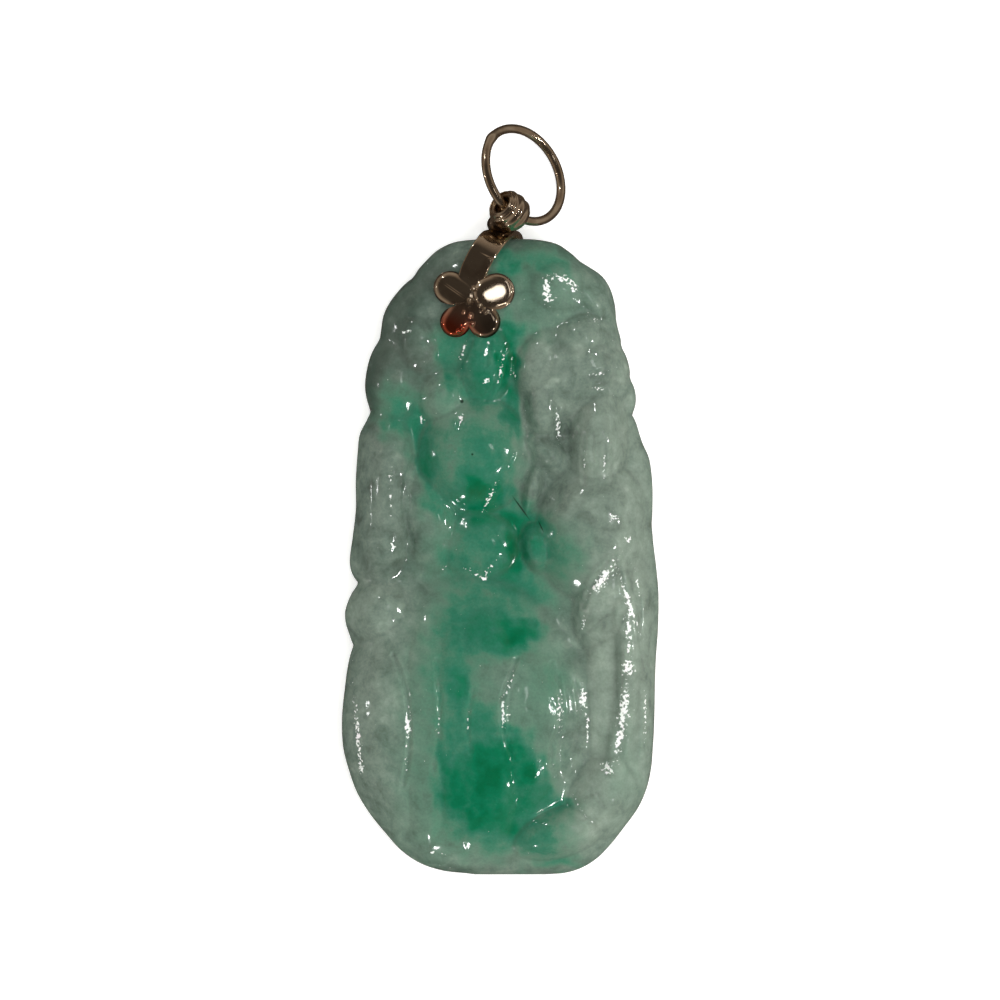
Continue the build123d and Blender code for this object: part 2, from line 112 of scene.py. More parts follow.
# Raised forms of the front. Across, half_across and half_up are shares of half the width, up is a share of
# the height, turn is in degrees, crown (the top) and fall (the drop to the edge) are shares of the depth,
# power makes the form domed (2) or flat with steep sides (3), and tone makes it paler (above 0) or darker
# (below 0) than the stone round it.
FORMS = (
    # name, across, up, half_across, half_up, turn, crown, fall, power, tone
    ("cap", 0.000, 0.908, 0.708, 0.480, 0, 0.764, 0.143, 2.4, -0.15),
    ("cap bulge", 0.354, 0.921, 0.215, 0.177, 0, 0.807, 0.143, 2.4, 0.15),
    ("crest", 0.613, 0.901, 0.253, 0.095, -55, 0.764, 0.114, 2.4, 0.00),
    ("shoulder", -0.607, 0.893, 0.190, 0.316, -28, 0.707, 0.129, 2.4, -0.30),
    ("bud", -0.525, 0.838, 0.139, 0.196, 15, 0.779, 0.157, 2.6, -0.28),
    ("flank", -0.708, 0.768, 0.202, 0.265, 0, 0.707, 0.129, 2.4, -0.42),
    ("berry", -0.341, 0.748, 0.158, 0.171, 0, 0.764, 0.143, 2.4, 0.30),
    ("calyx", -0.088, 0.811, 0.171, 0.291, -6, 0.814, 0.186, 2.8, 0.00),
    ("rosette", 0.461, 0.795, 0.341, 0.291, 0, 0.829, 0.157, 3.2, 0.00),
    ("upper petal", 0.518, 0.841, 0.196, 0.145, 20, 0.857, 0.143, 2.6, 0.30),
    ("left petal", 0.259, 0.806, 0.145, 0.209, -12, 0.857, 0.157, 2.6, 0.30),
    ("lower petal", 0.272, 0.731, 0.107, 0.202, 6, 0.821, 0.171, 2.6, 0.20),
    ("right petal", 0.714, 0.798, 0.120, 0.126, 0, 0.821, 0.143, 2.4, 0.25),
    ("drop", 0.619, 0.682, 0.171, 0.335, -4, 0.900, 0.229, 2.8, 0.38),
    ("fruit", -0.158, 0.660, 0.316, 0.329, 0, 0.921, 0.229, 2.6, 0.35),
    ("roll", -0.727, 0.591, 0.190, 0.544, -3, 0.800, 0.186, 2.8, -0.10),
    ("left pad", -0.442, 0.553, 0.171, 0.303, 8, 0.757, 0.143, 2.6, -0.12),
    ("middle pad", -0.133, 0.517, 0.234, 0.209, 0, 0.750, 0.143, 2.6, 0.00),
    ("band", 0.284, 0.666, 0.158, 0.095, -45, 0.793, 0.157, 2.4, 0.00),
    ("strip", 0.209, 0.610, 0.063, 0.177, -12, 0.779, 0.186, 2.4, 0.00),
    ("small bud", 0.228, 0.514, 0.095, 0.158, 12, 0.814, 0.200, 2.6, 0.00),
    ("leaf", 0.582, 0.542, 0.316, 0.392, -12, 0.943, 0.243, 2.8, 0.20),
    ("leaf fold", 0.657, 0.430, 0.164, 0.278, -16, 0.829, 0.157, 2.8, 0.35),
    ("lobe", -0.777, 0.414, 0.215, 0.196, 20, 0.779, 0.171, 2.6, 0.15),
    ("side", 0.860, 0.292, 0.158, 0.853, 2, 0.750, 0.157, 2.6, 0.36),
    ("valley", 0.664, 0.276, 0.120, 0.632, 0, 0.707, 0.100, 2.4, 0.80),
    ("curl", 0.360, 0.068, 0.297, 0.152, 14, 0.850, 0.200, 2.6, 0.80),
    ("tail", 0.664, 0.126, 0.215, 0.253, -25, 0.807, 0.157, 2.6, 0.45),
)

# The ribbed melon that fills the lower half, with the same columns.
MELON = ("melon", -0.209, 0.238, 0.796, 0.967, 0, 1.000, 0.386, 2.6, 0.12)

# The melon's ribs: long ovals, with the same columns up to their turn.
RIBS = (
    # name, across, up, half_across, half_up, turn
    ("outer left", -0.809, 0.216, 0.253, 0.727, 0),
    ("left", -0.468, 0.221, 0.120, 0.632, 0),
    ("left middle", -0.284, 0.232, 0.107, 0.569, 0),
    ("right middle", -0.101, 0.218, 0.196, 0.695, 0),
    ("right", 0.202, 0.235, 0.177, 0.405, 0),
    ("outer right", 0.493, 0.248, 0.126, 0.392, 0),
)

# Long ridges that stand up from the front: curves through places as shares of half the width and of the
# height. Width is a share of half the width and rise a share of the depth.
RIDGES = (
    # name, width, rise, places as (across, up)
    ("twisted ridge", 0.075, 0.090, ((0.784, 0.414), (0.815, 0.326), (0.740, 0.174))),
    ("thin ridge", 0.022, 0.036, ((0.752, 0.504), (0.828, 0.433), (0.891, 0.347))),
    ("outer ridge", 0.028, 0.043, ((0.917, 0.433), (0.923, 0.292), (0.904, 0.189))),
    ("leaf crest", 0.050, 0.040, ((0.556, 0.440), (0.620, 0.470), (0.702, 0.493))),
    ("melon edge", 0.035, 0.016, ((-0.898, 0.290), (-0.885, 0.235), (-0.865, 0.180),
                                  (-0.840, 0.147))),
    ("pod edge", 0.040, 0.020, ((0.480, 0.320), (0.560, 0.285), (0.575, 0.250), (0.545, 0.205))),
)

# Fine lines cut into the front, with the same kind of places. Lip is how proud the edges of a cut stand,
# as a share of its depth.
CUTS = (
    # name, width, depth, lip, places as (across, up)
    ("crest", 0.019, 0.0171, 0.6, ((0.544, 0.893), (0.619, 0.872), (0.689, 0.847))),
    ("bud top", 0.016, 0.0143, 0.8, ((-0.563, 0.877), (-0.518, 0.871), (-0.474, 0.857))),
    ("bud left", 0.019, 0.0114, 0.6, ((-0.638, 0.838), (-0.626, 0.819), (-0.588, 0.800))),
    ("calyx left", 0.016, 0.0200, 1.0, ((-0.177, 0.839), (-0.209, 0.822), (-0.253, 0.798))),
    ("calyx middle", 0.016, 0.0200, 1.0, ((-0.057, 0.836), (-0.076, 0.817), (-0.082, 0.800))),
    ("calyx right", 0.016, 0.0229, 1.0, ((0.051, 0.830), (0.013, 0.806), (-0.013, 0.776), (-0.088, 0.745))),
    ("fruit top", 0.019, 0.0114, 1.0, ((-0.240, 0.720), (-0.259, 0.704))),
    ("petal fold", 0.019, 0.0171, 0.8, ((0.569, 0.783), (0.619, 0.787), (0.670, 0.790))),
    ("petal end", 0.019, 0.0171, 0.8, ((0.556, 0.762), (0.619, 0.765), (0.670, 0.764))),
    ("stem beside drop", 0.020, 0.0200, 1.0, ((0.367, 0.732), (0.341, 0.716), (0.367, 0.690))),
    ("stem under drop", 0.020, 0.0171, 1.0, ((0.417, 0.707), (0.430, 0.685), (0.449, 0.669))),
    ("drop line 1", 0.016, 0.0171, 0.9, ((0.525, 0.691), (0.518, 0.654), (0.531, 0.613))),
    ("drop line 2", 0.016, 0.0143, 0.9, ((0.588, 0.688), (0.582, 0.669), (0.588, 0.650))),
    ("drop line 3", 0.016, 0.0171, 0.9, ((0.657, 0.676), (0.657, 0.657), (0.651, 0.635))),
    ("drop line 4", 0.016, 0.0171, 0.9, ((0.714, 0.669), (0.714, 0.644), (0.702, 0.616))),
    ("strip", 0.019, 0.0200, 1.0, ((0.215, 0.610), (0.202, 0.586), (0.190, 0.565))),
    ("leaflet 1", 0.016, 0.0200, 1.0, ((0.088, 0.663), (0.051, 0.643))),
    ("leaflet 2", 0.016, 0.0171, 1.0, ((0.190, 0.666), (0.177, 0.647))),
    ("leaflet 3", 0.016, 0.0200, 1.0, ((-0.013, 0.614), (-0.057, 0.592), (-0.101, 0.572))),
    ("roll inner", 0.021, 0.0286, 0.7, ((-0.537, 0.657), (-0.582, 0.628), (-0.607, 0.592), (-0.594, 0.558),
                                        (-0.550, 0.518))),
    ("roll outer", 0.032, 0.0143, 0.3, ((-0.777, 0.682), (-0.784, 0.598), (-0.771, 0.509))),
    ("leaf edge", 0.021, 0.0229, 1.0, ((0.676, 0.490), (0.619, 0.471), (0.556, 0.443), (0.525, 0.422))),
    ("leaf foot", 0.019, 0.0171, 0.8, ((0.512, 0.375), (0.594, 0.392), (0.670, 0.407))),
    ("leaf line", 0.018, 0.0200, 1.0, ((0.727, 0.496), (0.784, 0.449), (0.847, 0.399), (0.891, 0.345))),
    ("leaf line 2", 0.015, 0.0114, 0.8, ((0.759, 0.487), (0.822, 0.436), (0.872, 0.386))),
    ("rib 1", 0.020, 0.0229, 2.0, ((-0.670, 0.347), (-0.594, 0.295), (-0.569, 0.244), (-0.569, 0.197),
                                   (-0.607, 0.144))),
    ("rib 2", 0.019, 0.0171, 2.0, ((-0.398, 0.339), (-0.379, 0.276), (-0.386, 0.216), (-0.417, 0.166))),
    ("rib 3", 0.019, 0.0200, 2.0, ((-0.164, 0.292), (-0.196, 0.257), (-0.202, 0.229), (-0.183, 0.194))),
    ("rib 4", 0.020, 0.0257, 2.0, ((0.107, 0.339), (0.051, 0.303), (0.019, 0.276), (0.013, 0.251),
                                   (0.038, 0.216), (0.082, 0.185))),
    ("rib 4 lip", 0.016, 0.0143, 2.0, ((0.088, 0.301), (0.057, 0.270), (0.057, 0.238), (0.076, 0.210))),
    ("rib 5", 0.020, 0.0229, 2.0, ((0.329, 0.333), (0.373, 0.295), (0.386, 0.263), (0.379, 0.235),
                                   (0.335, 0.210), (0.322, 0.178))),
    ("rib 6", 0.019, 0.0171, 2.0, ((0.474, 0.307), (0.506, 0.268), (0.499, 0.229), (0.455, 0.188))),
    ("curl crease 1", 0.016, 0.0143, 0.8, ((0.455, 0.122), (0.493, 0.106), (0.537, 0.090))),
    ("curl crease 2", 0.016, 0.0143, 0.8, ((0.563, 0.134), (0.575, 0.123))),
    ("curl crease 3", 0.016, 0.0143, 0.8, ((0.607, 0.130), (0.645, 0.111))),
)

# Clouds of emerald green in the stone: soft ovals, with the columns of the forms up to their turn.
GREEN_CLOUDS = (
    # name, across, up, half_across, half_up, turn, strength
    ("top", 0.063, 0.959, 0.107, 0.076, 0, 0.50),
    ("top left", 0.032, 0.979, 0.126, 0.082, 0, 0.12),
    ("top right", 0.329, 0.963, 0.139, 0.070, -22, 0.34),
    ("top wash", 0.284, 0.913, 0.379, 0.265, 0, 0.17),
    ("collar", -0.076, 0.850, 0.284, 0.082, 0, 0.34),
    ("calyx", -0.139, 0.808, 0.139, 0.177, 0, 0.52),
    ("calyx foot", -0.114, 0.757, 0.126, 0.095, 0, 0.45),
    ("calyx right", 0.051, 0.814, 0.063, 0.164, 0, 0.96),
    ("strip", 0.057, 0.745, 0.051, 0.202, 4, 0.56),
    ("flank", -0.601, 0.745, 0.164, 0.139, 0, 0.30),
    ("fork", -0.544, 0.707, 0.139, 0.088, -30, 0.42),
    ("fork band", -0.461, 0.650, 0.088, 0.202, 14, 0.62),
    ("fruit", -0.139, 0.672, 0.265, 0.228, 0, 0.40),
    ("fruit foot", -0.116, 0.608, 0.158, 0.076, -10, 1.00),
    ("fruit under", -0.284, 0.581, 0.190, 0.101, 0, 0.42),
    ("middle", 0.082, 0.515, 0.063, 0.171, 0, 1.00),
    ("middle top", 0.076, 0.559, 0.095, 0.063, 0, 0.55),
    ("middle right", 0.240, 0.520, 0.095, 0.139, 0, 0.45),
    ("middle wash", -0.126, 0.496, 0.341, 0.240, 0, 0.40),
    ("neck", 0.158, 0.446, 0.265, 0.101, -20, 0.30),
    ("melon top", -0.139, 0.402, 0.240, 0.152, 0, 0.52),
    ("melon eye", 0.088, 0.374, 0.101, 0.088, 0, 0.92),
    ("melon eye right", 0.196, 0.388, 0.070, 0.057, 0, 0.62),
    ("melon wash", -0.316, 0.307, 0.303, 0.379, 0, 0.28),
    ("melon right", 0.303, 0.307, 0.228, 0.316, 0, 0.20),
    ("strip left", -0.253, 0.285, 0.051, 0.164, 0, 0.50),
    ("deep", -0.063, 0.160, 0.152, 0.171, 0, 1.00),
    ("deep top", 0.044, 0.197, 0.126, 0.095, 0, 0.72),
    ("deep left", -0.272, 0.134, 0.070, 0.139, 0, 0.62),
    ("deep foot", -0.076, 0.095, 0.139, 0.107, 0, 0.85),
    ("deep right", 0.177, 0.163, 0.076, 0.076, 0, 0.85),
    ("deep wash", -0.032, 0.147, 0.367, 0.367, 0, 0.38),
    ("tongue", 0.126, 0.109, 0.088, 0.076, 0, 0.55),
    ("vein", 0.316, 0.114, 0.164, 0.044, -3, 0.45),
    ("curl", 0.303, 0.053, 0.177, 0.088, 0, 0.26),
    ("foot right", 0.379, 0.018, 0.152, 0.044, 0, 0.32),
    ("foot", -0.063, 0.048, 0.506, 0.152, 0, 0.15),
    ("bottom left", -0.506, 0.134, 0.284, 0.455, 0, 0.12),
    ("calyx left", -0.341, 0.801, 0.070, 0.228, 0, 0.38),
    ("fruit low", -0.082, 0.570, 0.139, 0.107, 0, 0.66),
    ("middle low right", 0.190, 0.553, 0.107, 0.070, 0, 0.55),
    ("leaf wash", 0.430, 0.503, 0.152, 0.190, 0, 0.24),
    ("melon low", -0.088, 0.367, 0.202, 0.088, 0, 0.42),
    ("deep side", -0.329, 0.178, 0.057, 0.228, 0, 0.48),
    ("strip low", -0.126, 0.244, 0.101, 0.095, 0, 0.30),
    ("deep low right", 0.234, 0.134, 0.088, 0.057, 0, 0.48),
    ("curl left", 0.088, 0.081, 0.088, 0.076, 0, 0.45),
    ("right wash", 0.790, 0.166, 0.152, 0.379, 0, 0.10),
    ("fork side", -0.695, 0.704, 0.088, 0.107, 0, 0.28),
    ("curl middle", 0.303, 0.087, 0.139, 0.088, 0, 0.24),
    ("fruit side", 0.000, 0.638, 0.114, 0.139, 0, 0.24),
)

# Whiter, cottony places in the stone, and over the cap a painted sheen round its highlights, with the same
# columns.
PALE_CLOUDS = (
    # name, across, up, half_across, half_up, turn, strength
    ("cap", 0.392, 0.918, 0.152, 0.126, 0, 0.45),
    ("rosette", 0.455, 0.814, 0.265, 0.215, 0, 0.20),
    ("leaf", 0.695, 0.512, 0.253, 0.379, 0, 0.34),
    ("drop", 0.632, 0.685, 0.164, 0.291, 0, 0.26),
    ("right upper", 0.834, 0.622, 0.114, 0.569, 8, 0.30),
    ("right edge", 0.885, 0.402, 0.101, 1.201, 0, 0.50),
    ("valley", 0.701, 0.250, 0.190, 0.632, 0, 0.64),
    ("roll", -0.708, 0.575, 0.088, 0.354, 0, 0.30),
    ("curl", 0.450, 0.095, 0.228, 0.139, 10, 0.60),
    ("curl foot", 0.221, 0.071, 0.164, 0.101, 0, 0.30),
    ("lobe", -0.809, 0.414, 0.152, 0.164, 0, 0.10),
    ("melon left", -0.664, 0.276, 0.190, 0.442, 0, 0.12),
)

# Darker places: darker stone in part, and painted shade along the left edge and flank, beside the bail,
# under the roll and fruit and along the bottom, with the same columns.
DARK_AND_SHADE_CLOUDS = (
    # name, across, up, half_across, half_up, turn, strength
    ("top left", -0.474, 0.943, 0.215, 0.177, 20, 0.50),
    ("shoulder", -0.683, 0.858, 0.126, 0.303, -25, 0.50),
    ("flank", -0.809, 0.756, 0.076, 0.278, 0, 0.50),
    ("top edge", 0.411, 0.984, 0.354, 0.076, -28, 0.40),
    ("top", 0.126, 0.955, 0.228, 0.172, 0, 0.50),
    ("bud", -0.556, 0.823, 0.139, 0.190, 0, 0.20),
    ("roll foot", -0.601, 0.474, 0.215, 0.114, 0, 0.26),
    ("fork", 0.259, 0.641, 0.082, 0.291, 0, 0.12),
    ("fork foot", 0.303, 0.583, 0.139, 0.101, 0, 0.16),
    ("left edge", -0.948, 0.244, 0.057, 0.822, 0, 0.30),
    ("fruit under", -0.253, 0.528, 0.379, 0.164, 0, 0.10),
    ("bottom", -0.190, 0.005, 0.569, 0.051, 0, 0.40),
)

# Places where the tool's chatter was left in the polish, so that it roughens there, with white dots
# painted on as highlights for the lamps' glints in it, with the same columns.
CHATTER_AND_GLINT_PLACES = (
    # name, across, up, half_across, half_up, turn, strength
    ("cap left", 0.294, 0.918, 0.030, 0.100, 0, 1.00),
    ("cap top", 0.392, 0.935, 0.070, 0.026, -12, 0.95),
    ("cap right", 0.463, 0.922, 0.034, 0.046, 20, 0.90),
    ("cap foot", 0.335, 0.902, 0.040, 0.020, 0, 0.60),
    ("crest", 0.602, 0.872, 0.080, 0.020, -40, 0.55),
    ("ridge upper", 0.809, 0.380, 0.022, 0.200, 2, 0.90),
    ("ridge star", 0.803, 0.326, 0.044, 0.046, 0, 1.00),
    ("ridge middle", 0.779, 0.264, 0.040, 0.170, -5, 1.00),
    ("ridge lower", 0.748, 0.214, 0.028, 0.130, -7, 0.95),
    ("ridge side", 0.914, 0.252, 0.011, 0.200, 0, 0.72),
    ("leaf crest left", 0.645, 0.466, 0.040, 0.140, -34, 1.00),
    ("leaf crest low", 0.531, 0.400, 0.012, 0.090, -12, 0.80),
    ("leaf crest right", 0.803, 0.434, 0.018, 0.240, 19, 0.88),
    ("leaf line", 0.866, 0.460, 0.012, 0.120, 12, 0.70),
    ("left edge", -0.895, 0.221, 0.019, 0.260, 5, 0.90),
    ("left edge star", -0.872, 0.170, 0.020, 0.030, 0, 0.80),
    ("roll", -0.690, 0.605, 0.016, 0.190, 0, 0.74),
    ("roll star", -0.676, 0.518, 0.030, 0.028, 0, 0.80),
    ("rib 1", -0.578, 0.239, 0.021, 0.100, 0, 1.00),
    ("rib 1 low", -0.588, 0.190, 0.010, 0.160, 0, 0.66),
    ("rib 2", -0.386, 0.239, 0.014, 0.080, 0, 0.66),
    ("rib 3", -0.204, 0.243, 0.009, 0.090, 0, 0.72),
    ("rib 4 top", 0.057, 0.2995, 0.013, 0.100, -22, 0.90),
    ("rib 4", 0.022, 0.254, 0.015, 0.110, 3, 0.92),
    ("rib 4 side", 0.057, 0.257, 0.010, 0.090, 0, 0.84),
    ("rib 5", 0.377, 0.267, 0.022, 0.150, 0, 0.90),
    ("rib 6", 0.522, 0.278, 0.030, 0.080, 0, 1.00),
    ("rib 6 low", 0.550, 0.232, 0.015, 0.120, 0, 0.88),
    ("valley foot", 0.676, 0.169, 0.042, 0.044, 0, 1.00),
    ("foot left", -0.427, 0.036, 0.030, 0.014, -8, 0.90),
    ("foot middle", -0.360, 0.032, 0.024, 0.013, 0, 0.66),
    ("fork", -0.350, 0.489, 0.018, 0.050, -20, 0.64),
    ("fork line", -0.145, 0.472, 0.110, 0.016, -30, 0.78),
    ("fork line 2", -0.075, 0.478, 0.016, 0.070, -30, 0.80),
    ("curl", 0.500, 0.108, 0.010, 0.090, 30, 0.70),
    ("leaf star", 0.708, 0.5623, 0.034, 0.030, 0, 1.00),
    ("leaf dots", 0.809, 0.526, 0.034, 0.026, 0, 0.84),
    ("bud star", -0.588, 0.853, 0.032, 0.014, 10, 1.00),
    ("calyx line 1", -0.234, 0.8234, 0.013, 0.075, -19, 0.86),
    ("calyx line 2", -0.0885, 0.8219, 0.013, 0.060, -14, 0.86),
    ("calyx line 3", 0.0063, 0.795, 0.013, 0.115, -12, 0.84),
    ("calyx star", -0.0885, 0.776, 0.024, 0.022, 0, 1.00),
    ("calyx right", 0.0885, 0.784, 0.014, 0.040, 30, 0.92),
    ("drop streak", 0.3635, 0.707, 0.019, 0.115, 5, 0.92),
    ("petal fold", 0.619, 0.786, 0.055, 0.014, 20, 0.95),
    ("petal end", 0.613, 0.7637, 0.055, 0.012, 0, 0.88),
    ("drop line 1", 0.531, 0.652, 0.011, 0.070, 0, 0.80),
    ("drop line 2", 0.657, 0.644, 0.011, 0.090, 0, 0.80),
    ("fork line 3", -0.0695, 0.5906, 0.020, 0.095, -27, 0.90),
    ("fork star", -0.488, 0.7148, 0.026, 0.020, 0, 0.95),
    ("fruit star", -0.244, 0.7148, 0.018, 0.036, -8, 1.00),
    ("fruit dot", 0.0885, 0.659, 0.013, 0.013, 0, 0.90),
)

# Dark specks and cracks inside the stone, with the same columns up to their turn.
SPECKS = (
    # name, across, up, half_across, half_up, turn
    ("upper speck", -0.240, 0.7437, 0.0120, 0.0120, 0),
    ("lower speck", -0.174, 0.6604, 0.0070, 0.0070, 0),
    ("crack", 0.133, 0.5765, 0.0050, 0.0820, 36),
    ("second crack", 0.258, 0.5475, 0.0040, 0.0350, 25),
)

# The strap from the blossom over the jade's top to the hidden end of its back leg. Up is a share of the
# bail's rise, lean of its lean, depth runs from 0 on the back leg to 1 on the front one, and turn is the
# strap's slant in degrees.
STRAP = (
    # up, lean, depth, turn
    (-0.15, -0.04, 1.00, -12),
    (0.22, 0.02, 1.00, -14),
    (0.43, 0.12, 1.01, -20),
    (0.65, 0.33, 1.01, -28),
    (0.79, 0.51, 0.96, -28),
    (0.90, 0.68, 0.85, -22),
    (0.97, 0.85, 0.68, -10),
    (1.00, 1.00, 0.48, 0),
    (0.97, 1.12, 0.27, -4),
    (0.88, 1.16, 0.09, -14),
    (0.73, 1.02, 0.00, -26),
    (0.45, 0.64, -0.01, -32),
    (0.00, 0.00, -0.01, -34),
    (-0.16, -0.23, -0.01, -34),
)

# Petals of the blossom: where each points in degrees, how far out it sits and how large it is, as shares
# of the blossom's reach and of the petals' radius, how far from the middle it begins, in millimetres, its
# crown, how much of that it loses from its middle line to its sides, its crease and its raised outer rim,
# and how steeply it falls outwards.
PETALS = (
    # heading, reach, size, root, crown, swell, crease, rim, tilt
    (20, 1.17, 1.06, 1.75, 0.50, 0.05, 0.00, 0.08, 0.24),
    (84, 0.86, 0.80, 0.50, 0.30, 0.04, 0.00, 0.00, 0.00),
    (145, 0.95, 0.98, 0.90, 0.56, 0.16, 0.07, 0.00, 0.06),
    (236, 1.01, 0.90, 1.00, 0.62, 0.28, 0.03, 0.00, 0.02),
    (306, 1.02, 0.95, 1.10, 0.60, 0.08, 0.00, 0.00, 0.02),
)

# Small beads round the middle of the blossom, in millimetres from it, each flattened by the polish where it
# faces the window.
BEADS = (
    # x, y, radius, top
    (0.31, 0.89, 0.15, 0.84),
    (0.03, 0.03, 0.16, 0.84),
    (0.46, 0.10, 0.13, 0.82),
    (0.76, -0.30, 0.16, 0.80),
    (0.98, -0.52, 0.12, 0.76),
    (1.16, -0.80, 0.14, 0.72),
    (0.80, -0.72, 0.11, 0.72),
    (0.10, -1.04, 0.18, 0.78),
    (0.24, -1.61, 0.15, 0.74),
    (-0.76, -2.10, 0.15, 0.78),
    (-0.50, -1.84, 0.13, 0.78),
    (-0.40, -0.80, 0.12, 0.74),
)


class Mark(Enum):
    """What a vertex attribute of the jade or the gold tells the finish."""

    GREEN = "green"
    PALE = "pale"
    DIM = "dim"
    SEAM = "seam"
    STIPPLE = "stipple"
    RED = "red"
    GRIME = "grime"


class Kind(Enum):
    """Kinds of shader node."""

    ATTRIBUTE = "ShaderNodeAttribute"
    BACKGROUND = "ShaderNodeBackground"
    BUMP = "ShaderNodeBump"
    COORDINATES = "ShaderNodeTexCoord"
    MAPPING = "ShaderNodeMapping"
    MATERIAL = "ShaderNodeOutputMaterial"
    MATH = "ShaderNodeMath"
    MIX = "ShaderNodeMix"
    NOISE = "ShaderNodeTexNoise"
    PRINCIPLED = "ShaderNodeBsdfPrincipled"
    RAMP = "ShaderNodeValToRGB"
    RANGE = "ShaderNodeMapRange"
    VECTOR = "ShaderNodeVectorMath"
    WORLD = "ShaderNodeOutputWorld"


class Gloss(Enum):
    """Whether a light shows in polished surfaces or only lights them."""

    SHOWN = True
    HIDDEN = False


def linear(colour: str) -> tuple[float, float, float, float]:
    """Turn an sRGB hex colour into linear light.

    Args:
        colour: The colour as "#rrggbb".

    Returns:
        Red, green, blue and a full alpha, in linear light.
    """
    shares = (int(colour[place:place + 2], 16) / 255 for place in (1, 3, 5))
    return (*(c / 12.92 if c <= 0.04045 else ((c + 0.055) / 1.055) ** 2.4 for c in shares), 1.0)


def unit(vectors: Array) -> Array:
    """Bring vectors, one to a row or a single one, to the length 1."""
    return vectors / np.linalg.norm(vectors, axis=-1, keepdims=True)


def square_to(axis: Array, other: tuple[float, float, float]) -> tuple[Array, Array]:
    """Give two ways that are square to an axis and to each other, the first to another way too."""
    first = unit(np.cross(axis, other))
    return first, np.cross(axis, first)


def round_angles(count: int) -> Array:
    """Give even angles once round, in radians."""
    return np.linspace(0, 2 * np.pi, count, endpoint=False)


def turned(x: Array, y: Array, heading: Array | float) -> tuple[Array, Array]:
    """Measure how far points lie along a heading in degrees, and how far to the left of it."""
    angle = np.radians(heading)
    return x * np.cos(angle) + y * np.sin(angle), y * np.cos(angle) - x * np.sin(angle)


def bell(gap: Array, power: float = 2) -> Array:
    """Fall from 1 in the middle to almost 0 past a gap of 1, as the exponential of minus its power."""
    return np.exp(-np.abs(gap) ** power)


def soft_maximum(heights: Array, softness: float) -> tuple[Array, Array]:
    """Join forms smoothly: the logarithm of the sum of the exponentials of their heights over a softness.

    Args:
        heights: The heights by form and point.
        softness: About how far from where two forms cross the join still shows.

    Returns:
        The joined height of each point, and the share of each form in it.
    """
    highest = heights.max(axis=0)
    weights = np.exp((heights - highest) / softness)
    total = weights.sum(axis=0)
    return highest + softness * np.log(total), weights / total


def along_table(stations: Array, values: Array, at: Array) -> Array:
    """Follow the smooth curve through a table's values, a cubic between each two stations.

    Args:
        stations: Where the values stand, rising.
        values: One row for each station.
        at: The places wanted.

    Returns:
        One row for each place.
    """
    slopes = np.gradient(values, stations, axis=0)
    low = np.clip(np.searchsorted(stations, at, side="right") - 1, 0, len(stations) - 2)
    span = (stations[low + 1] - stations[low])[:, None]
    t = (at - stations[low])[:, None] / span
    from_low = (1 + 2 * t) * (1 - t) ** 2 * values[low] + t * (1 - t) ** 2 * span * slopes[low]
    return from_low + t**2 * (3 - 2 * t) * values[low + 1] + t**2 * (t - 1) * span * slopes[low + 1]


def smooth_run(places: Array, count: int) -> Array:
    """Lay evenly walked points on the smooth curve through a few places.

    Args:
        places: The places, one to a row.
        count: How many points to lay.

    Returns:
        The points, one to a row.
    """
    walked = np.concatenate(((0.0,), np.cumsum(np.linalg.norm(np.diff(places, axis=0), axis=1))))
    return along_table(walked, places, np.linspace(0, walked[-1], count))


def distance_to_run(run: Array, x: Array, y: Array) -> Array:
    """Measure how far points lie from a run of straight pieces.

    Args:
        run: The ends of the pieces, one to a row.
        x: X of the points.
        y: Y of the points.

    Returns:
        The distance of each point from its nearest piece.
    """
    nearest = np.full(x.shape, np.inf)
    for (x0, y0), (x1, y1) in zip(run[:-1], run[1:]):
        dx, dy = x1 - x0, y1 - y0
        share = np.clip(((x - x0) * dx + (y - y0) * dy) / (dx * dx + dy * dy), 0, 1)
        nearest = np.minimum(nearest, (x - x0 - share * dx) ** 2 + (y - y0 - share * dy) ** 2)
    return np.sqrt(nearest)


def add_node(
    tree: bpy.types.NodeTree,
    kind: Kind,
    inputs: dict | None = None,
    output: int | str = 0,
    stops: Iterable[tuple[float, str]] = (),
    **settings: object,
) -> bpy.types.NodeSocket | None:
    """Add a shader node with its settings, values and links.

    Args:
        tree: The material's or world's node tree.
        kind: The node's kind.
        inputs: A value, or a socket to link from, for each input's name or number.
        output: The wanted output's name or number.
        stops: A colour ramp's stops as (place, hex colour).
        **settings: The node's own properties.

    Returns:
        The node's output, or None if it has none.
    """
    node = tree.nodes.new(kind.value)
    for name, value in settings.items():
        setattr(node, name, value)
    for name, value in (inputs or {}).items():
        if isinstance(value, bpy.types.NodeSocket):
            tree.links.new(value, node.inputs[name])
        else:
            node.inputs[name].default_value = value
    for number, (place, colour) in enumerate(stops):
        elements = node.color_ramp.elements
        stop = elements[number] if number < len(elements) else elements.new(place)
        stop.position = place
        stop.color = linear(colour)
    return node.outputs[output] if node.outputs else None


def blend(share: Input, first: Input, second: Input) -> dict:
    """Give the inputs of a Mix node in colours, by their numbers: a share of the second over the first."""
    return {0: share, 6: first, 7: second}


def between(value: Input, span: tuple[float, float], ends: tuple[float, float] = (0.0, 1.0)) -> dict:
    """Give the inputs of a Map Range node: a span of the value, and what its ends become."""
    return dict(zip(("Value", "From Min", "From Max", "To Min", "To Max"), (value, *span, *ends)))


def new_material(name: str) -> bpy.types.Material:
    """Make an empty node material with that name."""
    material = bpy.data.materials.new(name)
    material.use_nodes = True
    material.node_tree.nodes.clear()
    return material


